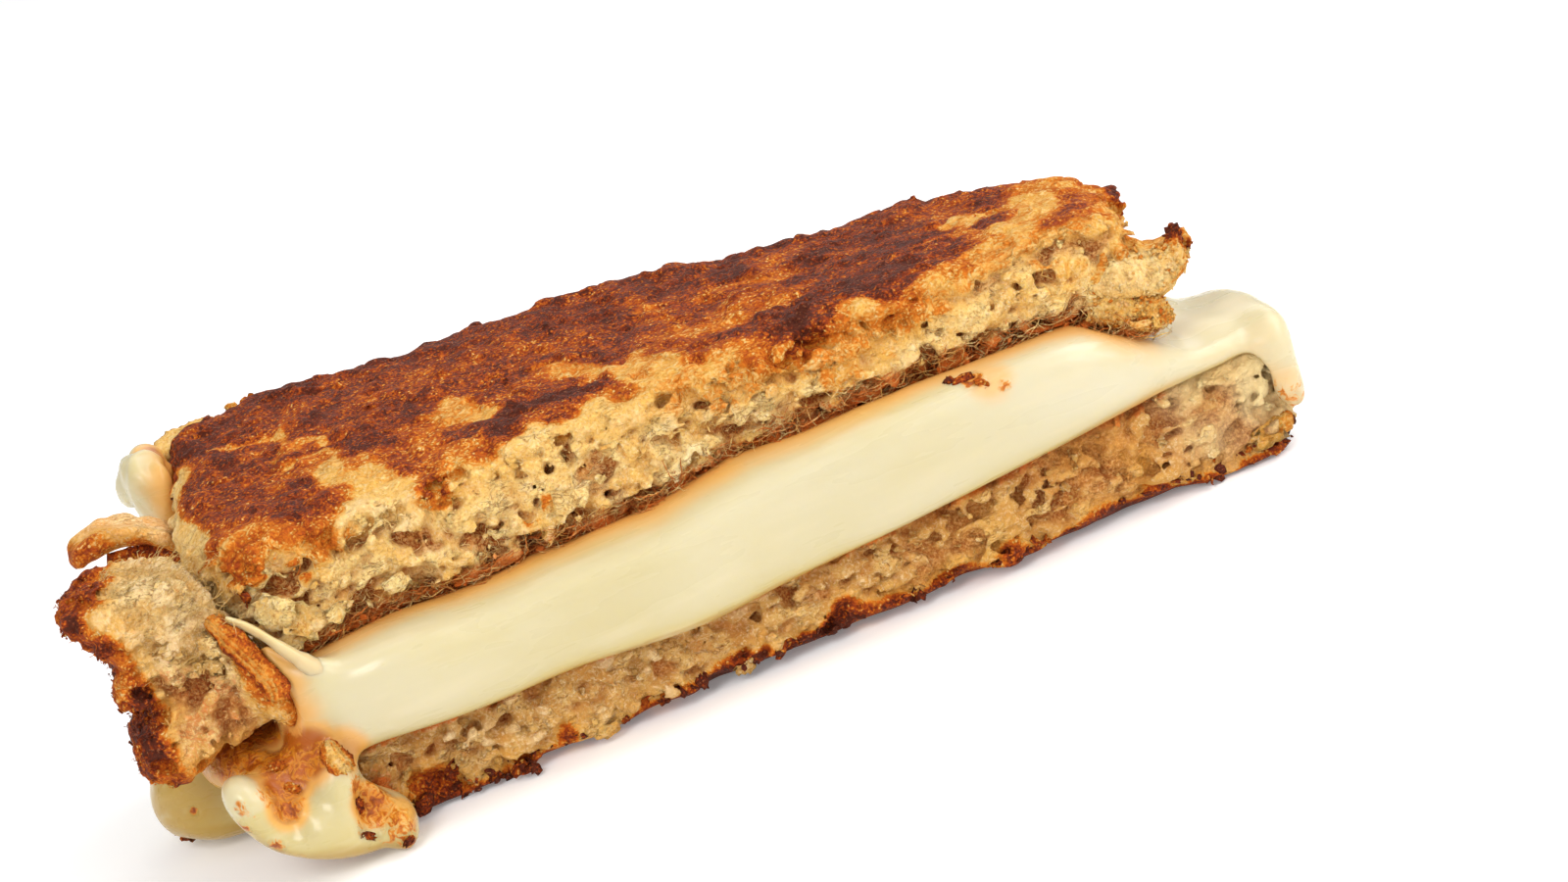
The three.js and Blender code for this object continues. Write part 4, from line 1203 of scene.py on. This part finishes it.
CHEESE_FLAKES = [
    (-57.0, -27.6, 12.8, -0.1, -0.9, 0.4, 0.6, 0, -0.7, 1.3, 0.8, 0.3),
    (-49.9, -28.6, 13.6, 0.3, -0.9, 0.3, 0.8, 0, 0.4, 1.2, 0.8, 0.4),
    (-57.6, -25.4, 15.2, -0.1, -0.5, 0.8, 0.9, -0.3, 0, 1.6, 0.9, 0.45),
    (-49.6, -29.6, 7.4, 0.4, -0.85, 0.2, 0.5, 0, 0.8, 1.3, 0.7, 0.7),
    (-50.4, -31.0, 4.6, 0.2, -0.9, 0, 0.8, 0, -0.4, 1.1, 0.6, 0.66),
    (-47.0, -30.4, 1.4, 0.2, -0.9, -0.2, 0.8, 0, 0.3, 1.0, 0.6, 0.62),
    (33.4, -24.6, 26.0, 0, -0.7, 0.7, 1, 0, -0.1, 1.9, 0.8, 0.6),
    (34.9, -26.2, 25.2, 0.1, -0.9, 0.4, 0.6, 0, -0.8, 1.1, 0.7, 0.35),
    (31.8, -24.0, 26.2, -0.2, -0.7, 0.6, 0.9, 0, 0.4, 1.0, 0.6, 0.75),
    (-72.6, 3.4, 3.0, -0.85, -0.45, 0, 0.4, -0.4, -0.8, 1.8, 0.7, 0.75),
    (-71.0, 0.4, 1.3, -0.6, -0.7, -0.2, 0.8, -0.4, -0.2, 1.4, 0.5, 0.7),
]


def dress_upper_slice(form):
    _, ny, nz = form.slopes
    x, y, _ = form.lattice.axes
    near_cut = y < CUT_Y + 8
    cut = (ny < -0.35) & near_cut & (nz < 0.5)
    loose_crumbs("upper_crumbs", form, cut, 900, 201)
    random_flakes("upper_flakes", form, cut, 260, (0.4, 1.1), 205)
    rng = np.random.default_rng(210)
    count = 1200
    starts = form.places((ny < -0.2) & near_cut & (form.lattice.distance("melted_cheese") < 2.8), count, 211)
    out = form.out(starts)
    along = unit(rng.normal(0, 1, (count, 3)) * [1.0, 0.25, 0.42])
    along = unit(along - 0.8 * out * (along * out).sum(1, keepdims=True))
    lengths = rng.uniform(1.6, 5.0, count)
    starts = starts - along * lengths[:, None] / 2
    bow = rng.uniform(0, 0.25, count)
    radii = rng.uniform(0.04, 0.12, count)
    threads("web_fibres", form, starts, along, out, lengths, radii, bow, 212, soak=(0.35, 0.9))
    count = 800
    starts = form.places(cut & (x < 56), count, 221)
    out = form.out(starts)
    along = unit(unit(rng.normal(0, 1, (count, 3)) * [1.4, 1, 1]) + 0.15 * out)
    lengths = rng.uniform(0.8, 2.4, count)
    radii = rng.uniform(0.04, 0.09, count)
    threads("upper_fuzz", form, starts, along, out, lengths, radii, 0.15, 222, form.read("toast", starts))
    named_flakes("named_flakes", form.slot, UPPER_FLAKES, 225, 0.4)
    named_flakes("crest_flakes", form.slot, CREST_FLAKES, 226, 0.5, form)


def dress_lower_slice(form):
    nz = form.slopes[2]
    _, y, z = form.lattice.axes
    sides = np.abs(nz) < 0.6
    loose_crumbs("lower_crumbs", form, sides, 1100, 231)
    random_flakes("lower_flakes", form, sides & (y < 0), 200, (0.4, 1.1), 235)
    low = sides & (z < 2.6) & (z > 0.5)
    loose_crumbs("browned_crumbs", form, low, 420, 241, (0.2, 0.8), toast=0.7)
    random_flakes("edge_flakes", form, low & (y < 0), 60, (0.7, 1.7), 245, toast=0.35, tilt=0.7)
    named_flakes("lower_named_flakes", form.slot, LOWER_FLAKES, 246, 0.4, form)


def dress_torn_end(form):
    x, y, z = form.lattice.axes
    nx, ny, _ = form.slopes
    browned = nx < -0.35
    loose_crumbs("torn_crumbs", form, (nx > -0.2) & (z > 27) & (x < -59) & (x > -67), 260, 251)
    loose_crumbs("toasted_crumbs", form, browned, 800, 261, (0.12, 0.42))
    rng = np.random.default_rng(270)
    count = 340
    starts = form.places((z > 29) & (nx > -0.3) & (x > -68) & (x < -58) & (y < -14), count, 271)
    fan = unit(np.array([0.75, -0.1, 0.4]) + rng.normal(0, 0.3, (count, 3)))
    lengths = rng.uniform(1.5, 5.5, count) * (0.4 + 0.6 * ease(starts[:, 0], -68, -60))
    bow = rng.uniform(0.03, 0.2, count)
    radii = rng.uniform(0.045, 0.08, count)
    threads("torn_fibres", form, starts, fan, form.out(starts), lengths, radii, bow, 272, 0.14)
    count = 360
    starts = form.places(browned, count, 281)
    out = form.out(starts)
    along = unit(out + rng.normal(0, 0.6, (count, 3)))
    lengths = rng.uniform(0.3, 0.7, count)
    radii = rng.uniform(0.05, 0.1, count)
    threads("torn_fuzz", form, starts, along, out, lengths, radii, 0.1, 282, form.read("toast", starts))
    pale = (z > 26) & (ny < -0.3) & (x > -66) & (x < -59)
    random_flakes("torn_flakes", form, pale, 34, (0.5, 1.2), 285, tilt=0.4)
    named_flakes("torn_named_flakes", form.slot, TORN_FLAKES, 286, 0.35, form)


# ---------------- flaps of crust and the strand of cheese

FLAP_CHIPS = 260
FLAP_CHIP_SIZES = (0.14, 0.42)


def crumbed(points, faces, toast, facing, seed):
    """A flap with chips of crumb on its front: its parts and the browning of every point."""
    rng = np.random.default_rng(seed)
    count, (least, largest) = FLAP_CHIPS, FLAP_CHIP_SIZES
    chosen = rng.integers(0, len(points) // 2, count)
    sizes = least + (largest - least) * rng.random(count) ** 2
    chips, chip_faces = crumbs(points[chosen], np.tile(unit(np.array(facing)), (count, 1)), sizes, seed + 1)
    shade = toast[chosen] + rng.normal(0, 0.06, count)
    toast = np.concatenate([toast, np.repeat(shade, len(chips) // count)]).clip(0, 1)
    return [(points, faces), (chips, chip_faces)], toast


def flap(name, slot, stops, facing, widths, seed, shape, toast, chips=None, hole=0.0, soak=0.0, rough=0.0):
    """A strip as a piece. Its shape is thickness, crown and ridges; toast tells its browning; chips is a seed."""
    points, faces, grooves, along = strip(stops, facing, widths, seed, *shape, rough=rough)
    parts, toast = [(points, faces)], toast(grooves, along)
    if chips:
        parts, toast = crumbed(points, faces, toast, facing, chips)
    joined(name, parts, slot, toast=toast, hole=hole, soak=soak, milk=0.0)


def behind(values, extra):
    """Adds to the values of the back half of a flap's points."""
    return values + extra * (np.arange(len(values)) >= len(values) // 2)


def build_flaps():
    # The strip of crust that hangs down beside the torn lump, ridged along its length, with its end folded back.
    stops = [(-58.3, -22.6, 33.2), (-56.9, -24.9, 30.6), (-55.4, -26.1, 27.2)]
    stops += [(-54.2, -26.5, 24.2), (-54.6, -26.9, 22.6)]
    flap("folded_strip", "torn_crust", stops, (-0.1, -0.95, 0.2), (0.9, 1.5, 1.6, 1.55, 1.3), 290, (0.32, 0.75, 0.09),
         lambda grooves, _: 0.26 + grooves, soak=0.6)
    # The dark fold of crust under the curl, where it comes off the upper slice.
    stops = [(-66.4, 5.2, 37.4), (-63.6, 4.8, 36.4), (-61.0, 4.6, 35.4), (-58.2, 4.6, 34.6)]
    flap("curl_fold", "crust_ribbon", stops, (0.0, -0.85, -0.5), (0.5, 1.3, 1.6, 1.3), 293, (0.3, 0.6, 0.14),
         lambda grooves, _: 0.5 + grooves)
    # The pale crust that curls up over the cheese at the back of the torn end.
    stops = [(-56.6, 24.0, 41.0), (-54.2, 25.4, 41.6), (-51.8, 26.4, 42.0), (-49.4, 27.2, 41.4), (-46.4, 27.8, 40.4)]
    flap("back_fringe", "toasted_bread", stops, (-0.2, -0.7, 0.7), (1.0, 2.2, 2.5, 2.2, 0.9), 294, (0.26, 0.8, 0.06),
         lambda grooves, along: behind(0.08 + 0.5 * grooves + 0.1 * along, 0.4), soak=0.1)
    # The golden flake that stands on the cheese between the fingers and the lower slice.
    stops = [(-50.4, -28.0, 12.2), (-51.0, -29.2, 13.6), (-51.4, -29.4, 15.2), (-51.4, -28.8, 16.4)]
    flap("upright_flake", "toasted_bread", stops, (0.0, -0.95, 0.2), (1.0, 1.7, 1.6, 0.7), 295, (0.25, 0.5, 0.16),
         lambda grooves, _: 0.18 + grooves, soak=0.2)
    # The thin strand of cheese that is stretched up beside the folded strip.
    stops = [(-44.6, -24.0, 18.4), (-46.6, -25.5, 20.4), (-48.4, -26.3, 22.6), (-50.1, -26.4, 25.2)]
    stops += [(-51.9, -26.0, 27.6), (-53.6, -25.2, 30.0), (-55.0, -24.4, 31.6), (-56.6, -23.6, 32.8)]
    widths = (0.8, 1.2, 1.4, 1.15, 0.8, 0.6, 0.5, 0.4)
    strand = strip(stops, (0.25, -0.9, 0.35), widths, 297, 0.4, 0.7, 0.02, wave=0.0)[:2]
    joined("cheese_strand", [strand], "cheese", soak=0.0, browned=0.0, tone=0.6, warm=0.14)
    # The curved flaps of crust that stand out at the upper slice's end over the run cheese.
    stops = [(53.0, -20.0, 29.8), (56.8, -21.9, 29.0), (60.2, -22.4, 28.3), (62.9, -21.5, 28.8), (64.5, -19.4, 31.8)]
    flap("horn_flap", "toasted_bread", stops, (0.25, -0.9, 0.3), (2.2, 2.6, 2.8, 2.1, 0.3), 291, (0.22, 1.1, 0.04),
         lambda grooves, along: 0.05 + 0.5 * grooves + 0.14 * ease(along, 0.4, 0.8) + 0.7 * ease(along, 0.8, 0.97),
         chips=296, hole=-0.25, rough=0.11)
    stops = [(51.4, -20.4, 26.6), (54.8, -21.9, 25.6), (57.8, -22.2, 24.3), (60.2, -21.0, 22.4)]
    flap("tongue_flap", "toasted_bread", stops, (0.2, -0.95, -0.1), (1.4, 2.2, 2.4, 1.1), 292, (0.22, 0.8, 0.06),
         lambda grooves, along: 0.08 + 0.8 * grooves + 0.14 * along, chips=298, hole=0.1, soak=0.3, rough=0.11)


upper, lower, torn = build_upper_slice(), build_lower_slice(), build_torn_end()
build_curl()
cheese = build_cheese()
dress_upper_slice(upper)
dress_lower_slice(lower)
dress_torn_end(torn)
build_flaps()
named_flakes("cheese_flakes", "toasted_bread", CHEESE_FLAKES, 301, 0.3, cheese)


# ---------------- floor, light and camera, in metres

FLOOR_SIDE = 3.0
WHITE = (1, 1, 1, 1)
SKY = 0.6
# Each light's place, what it is aimed at, its two sides and its power in watts.
LIGHTS = {
    "key": ((-0.42, -0.72, 0.62), (0, 0, 0.02), (0.45, 0.45), 5.3),
    "fill": ((0.55, -0.5, 0.42), (0.03, 0, 0.02), (0.5, 0.5), 2.5),
    "rim": ((0.3, 0.6, 0.5), (0, 0, 0.02), (0.6, 0.4), 1.0),
    "side": ((0.5, -0.05, 0.72), (0.05, 0, 0.02), (0.5, 0.5), 3.5),
}
AZIMUTH, ELEVATION, ROLL = (math.radians(angle) for angle in (-9.0, 17.0, 19.9))
AIM = (np.array([11.27, -22.01, 26.5]) + ORIGIN) * MM
DISTANCE = 0.5
FRAME_WIDTH = 0.1839  # what the frame spans at the aim
SENSOR = 36.0  # mm


def build_stage():
    mesh = bpy.data.meshes.new("floor")
    corners = [(FLOOR_SIDE * x, FLOOR_SIDE * y, 0) for x, y in ((-1, -1), (1, -1), (1, 1), (-1, 1))]
    mesh.from_pydata(corners, [], [(0, 1, 2, 3)])
    floor = bpy.data.objects.new("floor", mesh)
    bpy.context.scene.collection.objects.link(floor)
    paint = Paint("floor")
    paint.set(Base_Color=(0.9, 0.9, 0.9, 1), Roughness=0.9, Specular_IOR_Level=0.1)
    paint.set(Emission_Color=WHITE, Emission_Strength=0.16)
    mesh.materials.append(paint.material)
    world = bpy.data.worlds.new("studio")
    world.use_nodes = True
    sky = world.node_tree.nodes["Background"].inputs
    sky["Color"].default_value, sky["Strength"].default_value = WHITE, SKY
    bpy.context.scene.world = world


def build_light(name, place, aim, size, power):
    data = bpy.data.lights.new(name, "AREA")
    data.shape = "RECTANGLE"
    data.size, data.size_y = size
    data.energy = power
    light = bpy.data.objects.new(name, data)
    light.location = place
    light.rotation_euler = (Vector(aim) - Vector(place)).to_track_quat("-Z", "Y").to_euler()
    bpy.context.scene.collection.objects.link(light)


def build_camera():
    """A camera that looks at the aim, rolled about its line of sight, as the photographed half leans."""
    data = bpy.data.cameras.new("camera")
    data.sensor_width = SENSOR
    data.lens = SENSOR * DISTANCE / FRAME_WIDTH
    data.clip_start = 0.01
    camera = bpy.data.objects.new("camera", data)
    level = math.cos(ELEVATION)
    right = Vector((math.cos(AZIMUTH), math.sin(AZIMUTH), 0))
    away = Vector((math.sin(AZIMUTH) * level, -math.cos(AZIMUTH) * level, math.sin(ELEVATION)))
    up = away.cross(right)
    turned_right = right * math.cos(ROLL) - up * math.sin(ROLL)
    turned_up = right * math.sin(ROLL) + up * math.cos(ROLL)
    turn = Matrix((turned_right, turned_up, away)).transposed().to_4x4()
    camera.matrix_world = Matrix.Translation(Vector(AIM) + away * DISTANCE) @ turn
    bpy.context.scene.collection.objects.link(camera)
    bpy.context.scene.camera = camera


build_stage()
for name, light in LIGHTS.items():
    build_light(name, *light)
build_camera()
bpy.context.scene.view_settings.view_transform = "Standard"
